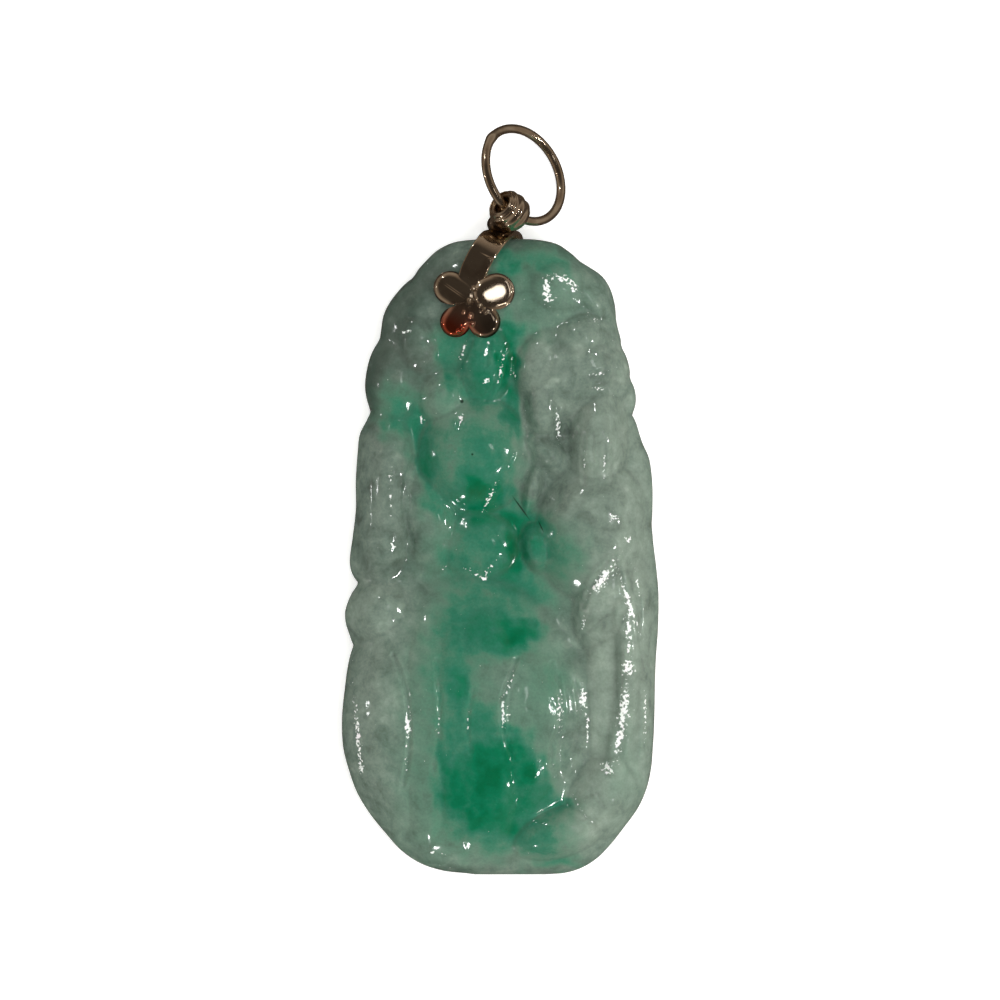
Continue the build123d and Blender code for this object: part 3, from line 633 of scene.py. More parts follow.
def quads_of(ids: Array, round_rows: bool = False, round_columns: bool = False) -> Array:
    """List the corners of the quads of a grid of point numbers.

    Args:
        ids: The point numbers by row and column.
        round_rows: Whether the last row joins the first.
        round_columns: Whether the last column joins the first.

    Returns:
        The corners, four for each quad.
    """
    if round_rows:
        ids = np.concatenate((ids, ids[:1]), axis=0)
    if round_columns:
        ids = np.concatenate((ids, ids[:, :1]), axis=1)
    return np.stack((ids[:-1, :-1], ids[:-1, 1:], ids[1:, 1:], ids[1:, :-1]), axis=-1).ravel()


@dataclass
class Surface:
    """Points and faces on the way to becoming a mesh.

    Attributes:
        points: The points in millimetres, one to a row.
        corners: The faces' corners as point numbers, face after face.
        sizes: How many corners each face has.
        marks: A number for each point, by what it marks.
    """

    points: Array
    corners: Array
    sizes: Array
    marks: dict[Mark, Array] = field(default_factory=dict)

    @classmethod
    def from_grid(cls, grid: Array, round_rows: bool = False) -> "Surface":
        """Join a grid of points, round along its columns, into a closed surface of quads.

        Args:
            grid: The points, indexed by row, column and axis.
            round_rows: Whether the last row joins the first. If not, one face closes each of the two.

        Returns:
            The surface, facing outwards.
        """
        ids = np.arange(grid.shape[0] * grid.shape[1]).reshape(grid.shape[:2])
        faces = [quads_of(ids, round_rows, round_columns=True)]
        sizes = [np.full(len(faces[0]) // 4, 4)]
        if not round_rows:
            faces += [ids[0, ::-1], ids[-1]]
            sizes.append(np.array([grid.shape[1], grid.shape[1]]))
        surface = cls(grid.reshape(-1, 3), np.concatenate(faces), np.concatenate(sizes))
        surface.face_outwards()
        return surface

    def face_outwards(self) -> None:
        """Turn the faces round if they enclose a volume below 0, summed over triangles from each face."""
        starts = np.cumsum(self.sizes) - self.sizes
        count = self.sizes - 2
        face = np.repeat(np.arange(len(self.sizes)), count)
        step = np.arange(count.sum()) - np.repeat(np.cumsum(count) - count, count)
        first, second, third = (
            self.points[self.corners[starts[face] + offset]] for offset in (0 * step, step + 1, step + 2)
        )
        if np.einsum("ij,ij->", first, np.cross(second, third)) < 0:
            begin = np.repeat(starts, self.sizes)
            within = np.arange(len(self.corners)) - begin
            self.corners = self.corners[begin + np.repeat(self.sizes, self.sizes) - 1 - within]


def make_piece(
    name: str, surfaces: list[Surface], material: bpy.types.Material
) -> bpy.types.Object:
    """Turn surfaces into one mesh object that rides on the part.

    Args:
        name: The piece's name.
        surfaces: The surfaces, which stay closed shells of their own.
        material: The finish.

    Returns:
        The object, at the origin with its place in its mesh.
    """
    before = np.cumsum([0] + [len(s.points) for s in surfaces[:-1]])
    points = np.concatenate([s.points for s in surfaces]) * MM
    corners = np.concatenate([s.corners + start for s, start in zip(surfaces, before)])
    sizes = np.concatenate([s.sizes for s in surfaces])
    mesh = bpy.data.meshes.new(name)
    mesh.vertices.add(len(points))
    mesh.vertices.foreach_set("co", points.ravel())
    mesh.loops.add(len(corners))
    mesh.loops.foreach_set("vertex_index", corners)
    mesh.polygons.add(len(sizes))
    mesh.polygons.foreach_set("loop_start", np.cumsum(sizes) - sizes)
    for mark in sorted({m for s in surfaces for m in s.marks}, key=lambda m: m.value):
        values = [s.marks.get(mark, np.zeros(len(s.points))) for s in surfaces]
        attribute = mesh.attributes.new(mark.value, "FLOAT", "POINT")
        attribute.data.foreach_set("value", np.concatenate(values).astype(np.float32))
    mesh.update(calc_edges=True)
    mesh.validate()
    mesh.shade_smooth()
    mesh.materials.append(material)
    piece = bpy.data.objects.new(name, mesh)
    bpy.context.scene.collection.objects.link(piece)
    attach(piece, BODY)
    return piece


@dataclass(frozen=True)
class Noise:
    """A noise pattern of a finish.

    Attributes:
        size: About how large its features are, in millimetres.
        detail: How many finer layers it has.
        roughness: How strong those are.
        bend: How far it is distorted.
    """

    size: float
    detail: float
    roughness: float = 0.5
    bend: float = 0.0

    def inputs(self, place: bpy.types.NodeSocket) -> dict:
        """Give a noise node's inputs round a place, its scale one over the size in metres."""
        return {
            "Vector": place,
            "Scale": 1 / (self.size * MM),
            "Detail": self.detail,
            "Roughness": self.roughness,
            "Distortion": self.bend,
        }


@dataclass(frozen=True)
class JadeiteFinish:
    """Jadeite, a tough stone of felted grains, tumbled and hand polished to a glassy skin.

    To the eye it is a milky, slightly grey green that light enters a little way, which softens every shadow,
    with cottony clouds, emerald clouds with fraying edges, and small sharp highlights that break up on the
    faint dimples of the polish.
    """

    # Pale veins and cottony flecks have their real size.
    cloud: Noise = Noise(2.6, 4.0, 0.56, 0.2)
    cotton: Noise = Noise(0.9, 4.0, 0.60, 0.3)
    # Felted grains, dimples of the polish and the dots of the tool's chatter are 0.05 to 0.1 mm, too fine to
    # show, so they are drawn two to four times as coarse.
    grain: Noise = Noise(0.17, 2.0, 0.60)
    dimple: Noise = Noise(0.34, 1.0)
    dot: Noise = Noise(0.22, 1.0)
    shade: str = "#56635a"
    grey: str = "#68796e"
    pale: str = "#798a7e"
    white: str = "#9aa99b"
    stone_stops: tuple[float, ...] = (0.35, 0.46, 0.57, 0.72)
    grain_span: tuple[float, float] = (0.3, 0.7)
    grain_tints: tuple[float, float] = (0.93, 1.07)
    # Darker stone, and painted shade at the left edge, beside the bail and under forms.
    dim: str = "#36453d"
    # Painted shade in the seams between forms.
    seam: str = "#46534a"
    seam_shade_strength: float = 0.26
    washed_green: str = "#4e8169"
    middle_green: str = "#30755d"
    deep_green: str = "#086e4d"
    deepest_green: str = "#00623f"
    green_stops: tuple[float, ...] = (0.20, 0.45, 0.72, 0.95)
    green_span: tuple[float, float] = (-0.02, 0.36)
    fray_span: tuple[float, float] = (0.03, 0.45)
    fray_share: float = 1.1
    speck: str = "#0d1a14"
    speck_span: tuple[float, float] = (0.6, 1.3)
    speck_share: float = 0.85
    # A painted highlight: the white of the dots painted for the lamps' glints in the chatter.
    painted_glint: str = "#f6fbf7"
    painted_glint_span: tuple[float, float] = (0.78, 0.92)
    glint_dot_gain: float = 0.45
    dot_depth: float = 0.022
    dimple_depth: float = 0.010
    dimple_span: tuple[float, float] = (0.40, 0.62)
    least_dimpling: float = 0.25
    roughness: float = 0.06
    rough_gain: float = 0.08
    refraction: float = 1.66
    light_depth: float = 0.45
    light_reach: tuple[float, float, float] = (0.8, 1.0, 0.85)
    translucence: float = 0.6

    def material(self, jade: "JadeCarving") -> bpy.types.Material:
        """Build the finish.

        Args:
            jade: The jade that it dresses.

        Returns:
            The material.
        """
        material = new_material("polished_jadeite")
        node = partial(add_node, material.node_tree)
        place = node(Kind.COORDINATES, output="Object")
        green, pale, dim, seam, stipple = (
            node(Kind.ATTRIBUTE, output="Fac", attribute_name=mark.value)
            for mark in (Mark.GREEN, Mark.PALE, Mark.DIM, Mark.SEAM, Mark.STIPPLE)
        )
        cloud, cotton, grain, dimple, dot = (
            node(Kind.NOISE, noise.inputs(place))
            for noise in (self.cloud, self.cotton, self.grain, self.dimple, self.dot)
        )
        # Cloud and cotton together carry the mottling, in a range about one half.
        mottle = node(Kind.MIX, {"Factor": 0.5, "A": cloud, "B": cotton}, data_type="FLOAT")
        stones = zip(self.stone_stops, (self.shade, self.grey, self.pale, self.white))
        body = node(Kind.RAMP, {"Fac": mottle}, stops=stones)
        fog = node(Kind.MATH, {0: pale, 1: mottle}, operation="MULTIPLY")
        # The green frays where the mottling eats into it, the more so the further it is from its middle.
        frays = between(green, self.fray_span, (0.0, self.fray_share))
        gate = node(Kind.RANGE, frays, interpolation_type="SMOOTHSTEP")
        fray = node(Kind.MATH, {0: mottle, 1: 0.5}, operation="SUBTRACT")
        strength = node(Kind.MATH, {0: fray, 1: gate, 2: green}, operation="MULTIPLY_ADD")
        emeralds = zip(
            self.green_stops, (self.washed_green, self.middle_green, self.deep_green, self.deepest_green)
        )
        greens = node(Kind.RAMP, {"Fac": strength}, stops=emeralds)
        # Painted highlights: where the tool's chatter was left in the polish, dots of it are painted white.
        glint_dots = node(Kind.MATH, {0: stipple, 1: self.glint_dot_gain, 2: dot}, operation="MULTIPLY_ADD")
        covered, painted_glint_share = (
            node(Kind.RANGE, between(value, span), interpolation_type="SMOOTHSTEP")
            for value, span in ((strength, self.green_span), (glint_dots, self.painted_glint_span))
        )
        # Pale clouds whiten the stone, partly as a painted sheen on the cap; dark clouds darken it, partly as
        # painted shade.
        for share, colour in ((fog, linear(self.white)), (dim, linear(self.dim)), (covered, greens)):
            body = node(Kind.MIX, blend(share, body, colour), **IN_COLOUR)
        speckle = node(Kind.RANGE, between(grain, self.grain_span, self.grain_tints))
        body = node(Kind.MIX, blend(1.0, body, speckle), blend_type="MULTIPLY", **IN_COLOUR)
        # Painted shade darkens the seams between forms.
        valley = node(Kind.MATH, {0: seam, 1: self.seam_shade_strength}, operation="MULTIPLY")
        specks = self.specks(node, place, jade)
        for share, colour in ((valley, self.seam), (specks, self.speck), (painted_glint_share, self.painted_glint)):
            body = node(Kind.MIX, blend(share, body, linear(colour)), **IN_COLOUR)
        rough = node(
            Kind.MATH, {0: cotton, 1: self.rough_gain, 2: self.roughness}, operation="MULTIPLY_ADD"
        )
        patchy = node(Kind.RANGE, between(cloud, self.dimple_span, (self.least_dimpling, 1.0)))
        bump = node(Kind.BUMP, {"Height": dimple, "Distance": self.dimple_depth * MM, "Strength": patchy})
        bump = node(
            Kind.BUMP, {"Height": dot, "Distance": self.dot_depth * MM, "Strength": stipple, "Normal": bump}
        )
        shader = node(
            Kind.PRINCIPLED,
            {
                "Base Color": body,
                "Roughness": rough,
                "Normal": bump,
                "IOR": self.refraction,
                "Subsurface Weight": self.translucence,
                "Subsurface Radius": self.light_reach,
                "Subsurface Scale": self.light_depth * MM,
            },
        )
        node(Kind.MATERIAL, {"Surface": shader})
        return material

    def specks(
        self, node: Callable, place: bpy.types.NodeSocket, jade: "JadeCarving"
    ) -> bpy.types.NodeSocket:
        """Draw the specks and cracks: dark inside each turned oval, nothing outside.

        Args:
            node: Adds a node to the material.
            place: The object coordinates.
            jade: The jade that it dresses.

        Returns:
            The share of dark.
        """
        share = 0.0
        for _, across, up, half_across, half_up, turn in SPECKS:
            local = node(
                Kind.MAPPING,
                {
                    "Vector": place,
                    "Location": (across * jade.half_width * MM, (jade.low_end + up * jade.height) * MM, 0.0),
                    "Rotation": (0.0, 0.0, np.radians(turn)),
                    "Scale": (half_across * jade.half_width * MM, half_up * jade.half_width * MM, 1.0),
                },
                vector_type="TEXTURE",
            )
            flat = node(Kind.VECTOR, {0: local, 1: (1.0, 1.0, 0.0)}, operation="MULTIPLY")
            reach = node(Kind.VECTOR, {0: flat}, output="Value", operation="LENGTH")
            inside = node(Kind.RANGE, between(reach, self.speck_span, (self.speck_share, 0.0)))
            share = node(Kind.MATH, {0: inside, 1: share}, operation="MAXIMUM")
        return share


@dataclass(frozen=True)
class GoldFinish:
    """Gold of a warm reddish alloy, stamped or cast and polished by hand.

    To the eye it is a mirror that goes brown where the room is dark and near white where a light stands in
    it, with fine hairlines, faint hammer waves, a bloom of tarnish in places and dark grime round its
    solder. A red reflection is painted on one petal, and painted shade darkens another petal, the petals'
    rims and the neck.
    """

    wave: Noise = Noise(1.3, 2.0)
    # Hairlines are about 0.02 mm wide, too fine to show, so they are drawn some six times as coarse.
    hairline: Noise = Noise(0.12, 3.0)
    gold: str = "#dccbb3"
    tarnish: str = "#a38b72"
    tarnish_span: tuple[float, float] = (0.42, 0.72)
    tarnish_share: float = 0.7
    # A painted reflection of something red, on one lower petal.
    red: str = "#da6a4c"
    # Grime round the solder, and painted shade on a dark petal, the petals' rims and the neck.
    grime: str = "#55473b"
    wave_depth: float = 0.012
    hairline_depth: float = 0.0006
    roughness: float = 0.055
    rough_gain: float = 0.2

    def material(self) -> bpy.types.Material:
        """Build the finish."""
        material = new_material("polished_red_gold")
        node = partial(add_node, material.node_tree)
        place = node(Kind.COORDINATES, output="Object")
        red, grime = (
            node(Kind.ATTRIBUTE, output="Fac", attribute_name=mark.value) for mark in (Mark.RED, Mark.GRIME)
        )
        wave, hairline = (node(Kind.NOISE, noise.inputs(place)) for noise in (self.wave, self.hairline))
        bloom = node(Kind.RANGE, between(wave, self.tarnish_span, (0.0, self.tarnish_share)))
        body = linear(self.gold)
        for share, colour in ((bloom, self.tarnish), (red, self.red), (grime, self.grime)):
            body = node(Kind.MIX, blend(share, body, linear(colour)), **IN_COLOUR)
        rough = node(Kind.MATH, {0: wave, 1: self.rough_gain, 2: self.roughness}, operation="MULTIPLY_ADD")
        bump = node(Kind.BUMP, {"Height": wave, "Distance": self.wave_depth * MM, "Strength": 1.0})
        bump = node(
            Kind.BUMP,
            {"Height": hairline, "Distance": self.hairline_depth * MM, "Strength": 1.0, "Normal": bump},
        )
        shader = node(
            Kind.PRINCIPLED, {"Base Color": body, "Metallic": 1.0, "Roughness": rough, "Normal": bump}
        )
        node(Kind.MATERIAL, {"Surface": shader})
        return material


@dataclass(frozen=True)
class LightTableFinish:
    """Opal acrylic sheet, lit from beneath, a matt white that leaves almost no shadow on it."""

    white: str = "#f6f6f5"
    roughness: float = 0.9
    glow: float = 0.45

    def material(self) -> bpy.types.Material:
        """Build the finish."""
        material = new_material("opal_acrylic")
        node = partial(add_node, material.node_tree)
        inputs = {
            "Base Color": linear(self.white),
            "Roughness": self.roughness,
            "Specular IOR Level": 0.0,
            "Emission Color": linear(self.white),
            "Emission Strength": self.glow,
        }
        node(Kind.MATERIAL, {"Surface": node(Kind.PRINCIPLED, inputs)})
        return material


@dataclass
class JadeCarving:
    """The carved jade: a front of raised forms over a plain rounded back, in one closed mesh."""

    finish: JadeiteFinish
    low_end: float
    width: float = 22.6
    height: float = 45.4
    depth: float = 7.0
    rim_height: float = 2.6
    edge_width: float = 2.7
    ground_height: float = 4.2
    seam_softness: float = 0.24
    seam_reach: float = 0.22
    rib_height: float = 0.20
    back_margin: float = 2.4
    back_taper: float = 15.0
    wave_height: float = 0.008
    wave_lengths: tuple[float, float] = (0.8, 2.6)
    wave_seed: int = 7
    wave_count: int = 18
    drift: float = 0.20
    drift_lengths: tuple[float, float] = (0.8, 3.0)
    drift_seeds: tuple[int, int] = (11, 12)
    outline_points: int = 160
    line_points: int = 25
    rows: int = 420
    columns: int = 190
    crowding: float = 0.88
    back_steps: int = 8

    def __post_init__(self) -> None:
        """Lay both sides of the outline."""
        self.half_width = self.width / 2
        self.left = self.side_outline(LEFT_OUTLINE, LEFT_NICKS)
        self.right = self.side_outline(RIGHT_OUTLINE, RIGHT_NICKS)

    def side_outline(self, table: Table, nicks: Table) -> Array:
        """Lay points up one side of the outline.

        The curve goes through the table by walked length. Each nick takes its depth off it, less with the
        distance from the nick, as the exponential of minus the distance over the spread.

        Args:
            table: The side's rows of up and out.
            nicks: The side's rows of up, depth and spread.

        Returns:
            Points as rows of X outwards and Y up the jade.
        """
        size = np.array((self.height, self.half_width))
        up, out = smooth_run(np.array(table) * size, self.outline_points).T
        for nick_up, depth, spread in nicks:
            out = out - depth * self.half_width * bell((up / self.height - nick_up) / spread, 1)
        return np.stack((out, np.clip(up, 0, self.height)), axis=-1)

    def ovals(self, rows: Table, x: Array, y: Array) -> Array:
        """Measure the turned oval radius, 1 at its edge, of each row around each point.

        Args:
            rows: Table rows that begin with name, across, up, half_across, half_up and turn.
            x: X of the points.
            y: Y of the points up the jade.

        Returns:
            The radii by row and point.
        """
        across, up, half_across, half_up, turn = np.array([row[1:6] for row in rows], float).T[..., None]
        along, beside = turned(x - across * self.half_width, y - up * self.height, turn)
        return np.hypot(along / (half_across * self.half_width), beside / (half_up * self.half_width))

    def clouds(self, rows: Table, x: Array, y: Array) -> Array:
        """Add up soft clouds: what is left when each takes its strength times a bell of its oval radius.

        Args:
            rows: Table rows of the clouds.
            x: X of the points.
            y: Y of the points up the jade.

        Returns:
            A share from 0 to 1 for each point.
        """
        strength = np.array([row[6] for row in rows], float)[:, None]
        return 1 - np.prod(1 - strength * bell(self.ovals(rows, x, y)), axis=0)

    def line_gap(self, places: tuple, width: float, x: Array, y: Array) -> Array:
        """Measure how far points lie from the smooth line through some places.

        Args:
            places: The places as (across, up).
            width: The line's width, as a share of half the jade's.
            x: X of the points.
            y: Y of the points up the jade.

        Returns:
            The distance of each point, in widths.
        """
        run = smooth_run(np.array(places) * (self.half_width, self.height), self.line_points)
        return distance_to_run(run, x, y) / (width * self.half_width)

    def relief(self, x: Array, y: Array) -> tuple[Array, Array, Array]:
        """Work out the height of the carved front.

        Each form is its crown less its fall times the oval radius to its power, and the melon has ribs on
        top. The forms are joined by a soft maximum, ridges and cuts are added as bells, and the whole is
        rounded over towards the rim along a quarter of an oval.

        Args:
            x: X of the points.
            y: Y of the points up the jade.

        Returns:
            The heights, how near each point is to a seam between two forms, from 0 to 1, and the tone of
            the form that it is on.
        """
        rows = (*FORMS, MELON)
        crown, fall, power, tones = np.array([row[6:] for row in rows], float).T[..., None]
        heights = (crown - fall * self.ovals(rows, x, y) ** power) * self.depth
        heights[-1] += self.rib_swell(x, y)
        heights = np.concatenate((heights, np.full((1, len(x)), self.ground_height)))
        relief, shares = soft_maximum(heights, self.seam_softness)
        tone = tones[:, 0] @ shares[:-1]
        second, highest = np.partition(heights, -2, axis=0)[-2:]
        seam = bell((highest - second) / self.seam_reach)
        for _, width, rise, places in RIDGES:
            relief = relief + rise * self.depth * bell(self.line_gap(places, width, x, y), 4)
        for _, width, depth, lip, places in CUTS:
            gap = self.line_gap(places, width, x, y)
            relief = relief - depth * self.depth * (1 - lip * gap**2) * bell(gap)
        relief = relief + self.wave_height * self.waves(x, y, self.wave_seed, self.wave_lengths)
        outline = np.concatenate((self.right * (1, 1), (self.left * (-1, 1))[::-1], self.right[:1]))
        inward = np.clip(distance_to_run(outline, x, y) / self.edge_width, 0, 1)
        rounding = np.sqrt(1 - (1 - inward) ** 2)
        return self.rim_height + (relief - self.rim_height) * rounding, seam * rounding, tone

    def rib_swell(self, x: Array, y: Array) -> Array:
        """Swell each rib of the melon: it falls with the fourth power of its oval radius."""
        swell = 1 - self.ovals(RIBS, x, y) ** 4
        return self.rib_height * (np.clip(swell.max(axis=0), -1, 1) - 1)

    def waves(self, x: Array, y: Array, seed: int, lengths: tuple[float, float]) -> Array:
        """Undulate at random about 0, by about 1: a sum of sine waves that run different ways.

        Args:
            x: X of the points.
            y: Y of the points up the jade.
            seed: Picks the waves.
            lengths: The shortest and the longest wave.

        Returns:
            The sum at each point.
        """
        draw = np.random.default_rng(seed)
        turn, start = draw.uniform(0, 2 * np.pi, (2, self.wave_count, 1))
        length = draw.uniform(*lengths, (self.wave_count, 1))
        phase = start + 2 * np.pi * (x * np.cos(turn) + y * np.sin(turn)) / length
        return np.sin(phase).sum(axis=0) / np.sqrt(self.wave_count / 2)

    def back_height(self, share: float) -> float:
        """Height of the back, share of the way in from the rim to the flat, along a quarter of an oval."""
        return self.rim_height * (1 - np.sqrt(1 - (1 - share) ** 2))

    def back_over(self, y: float) -> float:
        """Height of the back's middle over the surface, at a place up the jade above its flat."""
        return self.back_height(min((self.height - y) / self.back_taper, 1.0))

    def back_ring(self, edge: Array, share: float) -> Array:
        """Draw the rim in towards the flat.

        Args:
            edge: The rim's points.
            share: How far in, from 0 at the rim to 1 at the flat.

        Returns:
            The ring's points.
        """
        x, y = edge[:, 0], edge[:, 1]
        middle = self.height / 2
        above = (middle - self.back_taper) / middle
        below = 1 - self.back_margin / middle
        flat_x = x * (1 - self.back_margin / self.half_width)
        flat_y = middle + (y - middle) * np.where(y > middle, above, below)
        height = np.full(len(x), self.back_height(share))
        return np.stack((x + (flat_x - x) * share, y + (flat_y - y) * share, height), axis=-1)

    def crowded(self, count: int) -> Array:
        """Give shares from 0 to 1 that crowd towards both ends, by the sine of even steps."""
        steps = np.linspace(-1, 1, count + 1)
        return (np.sin(steps * self.crowding * np.pi / 2) / np.sin(self.crowding * np.pi / 2) + 1) / 2

    def surface(self) -> Surface:
        """Build the closed surface: a grid over the front, rings round the back and a flat.

        Rows run up the jade and columns across it, both crowded towards the rim.
        """
        up = self.crowded(self.rows) * self.height
        share = self.crowded(self.columns)
        left = -np.interp(up, self.left[:, 1], self.left[:, 0])[:, None]
        right = np.interp(up, self.right[:, 1], self.right[:, 0])[:, None]
        x = left + (right - left) * share
        y = np.repeat(up[:, None], len(share), axis=1)
        z, seam, tone = (values.reshape(x.shape) for values in self.relief(x.ravel(), y.ravel()))
        z[[0, -1]] = z[:, [0, -1]] = self.rim_height
        front = np.stack((x, y, z), axis=-1).reshape(-1, 3)
        ids = np.arange(x.size).reshape(x.shape)
        rim = np.concatenate((ids[0, :-1], ids[:-1, -1], ids[-1, :0:-1], ids[:0:-1, 0]))
        shares = 1 - np.cos(np.linspace(0, np.pi / 2, self.back_steps + 1)[1:])
        rings = np.concatenate([self.back_ring(front[rim], share) for share in shares])
        ring_ids = np.concatenate((rim, x.size + np.arange(len(rings)))).reshape(-1, len(rim))
        back = quads_of(ring_ids[:, ::-1], round_columns=True)
        corners = np.concatenate((quads_of(ids), back, ring_ids[-1, ::-1]))
        sizes = np.full((len(corners) - len(rim)) // 4 + 1, 4)
        sizes[-1] = len(rim)
        points = np.concatenate((front, rings))
        behind = np.zeros(len(rings))
        marks = self.marks(points, np.concatenate((tone.ravel(), behind)))
        marks[Mark.SEAM] = np.concatenate((seam.ravel(), behind))
        return Surface(points + (0, self.low_end, 0), corners, sizes, marks)

    def marks(self, points: Array, tone: Array) -> dict[Mark, Array]:
        """Mark the stone's clouds, partly painted sheen and shade, and the chatter where white glints are
        painted.

        The clouds are drawn through a slightly drifting ground, so that none of them is a plain oval.

        Args:
            points: The points, up from the jade's low end.
            tone: How pale, or below 0 how dark, each point's form is.

        Returns:
            A share from 0 to 1 for each point, by what it marks.
        """
        flat = points[:, :2].T
        drifted = [
            flat[axis] + self.drift * self.waves(*flat, seed, self.drift_lengths)
            for axis, seed in enumerate(self.drift_seeds)
        ]
        return {
            Mark.GREEN: self.clouds(GREEN_CLOUDS, *drifted),
            Mark.PALE: np.clip(self.clouds(PALE_CLOUDS, *drifted) + tone, 0, 1),
            Mark.DIM: np.clip(self.clouds(DARK_AND_SHADE_CLOUDS, *drifted) - tone, 0, 1),
            Mark.STIPPLE: self.clouds(CHATTER_AND_GLINT_PLACES, *flat),
        }

    def build(self) -> bpy.types.Object:
        """Build and dress the jade."""
        piece = make_piece("carved_jade", [self.surface()], self.finish.material(self))
        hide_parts("jade_carving")
        return piece


@dataclass
class JumpRing:
    """The round wire ring, closed with a soldered joint, leaning from the surface through the bail's eye."""

    material: bpy.types.Material
    radius: float = 3.5
    wire: float = 0.65
    pass_angle: float = 56.0
    joint_angle: float = 158.0
    joint_swell: float = 0.05
    joint_corner: float = 0.10
    joint_width: float = 7.0
    corner_width: float = 26.0
    corner_power: float = 1.3
    steps: int = 240
    sides: int = 28

    def __post_init__(self) -> None:
        """Read where the ring stands from its box.

        Half the box of a ring is, along each axis, its radius times the square root of 1 less the square of
        its normal's share, and half the wire.
        """
        low, high = (np.array(corner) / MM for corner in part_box("jump_ring"))
        self.centre = (low + high) / 2
        share = ((high - low) / 2 - self.wire / 2) / self.radius
        self.normal = unit(np.sqrt(np.clip(1 - share**2, 0, 1)))
        self.level = -unit(np.cross((0.0, 0.0, 1.0), self.normal))
        self.high = np.cross(self.level, self.normal)
        angle = np.radians(self.pass_angle)
        self.eye = self.centre + self.radius * (np.cos(angle) * self.level + np.sin(angle) * self.high)
        self.wire_way = np.cos(angle) * self.high - np.sin(angle) * self.level

    def surface(self) -> Surface:
        """Carry a circle of wire round the ring, thicker at its joint by a bell and cornered there."""
        turn = round_angles(self.steps)
        side = round_angles(self.sides)
        off = np.degrees(turn) - self.joint_angle
        corner = self.joint_corner * bell(off / self.corner_width, self.corner_power)
        wire = self.wire / 2 + self.joint_swell * bell(off / self.joint_width)
        out = np.cos(turn)[:, None] * self.level + np.sin(turn)[:, None] * self.high
        spread = (self.radius + corner)[:, None] + wire[:, None] * np.cos(side)
        rise = wire[:, None] * np.sin(side)
        grid = self.centre + spread[..., None] * out[:, None] + rise[..., None] * self.normal
        return Surface.from_grid(grid, round_rows=True)

    def build(self) -> bpy.types.Object:
        """Build and dress the ring."""
        piece = make_piece("ring_wire", [self.surface()], self.material)
        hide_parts("jump_ring")
        return piece


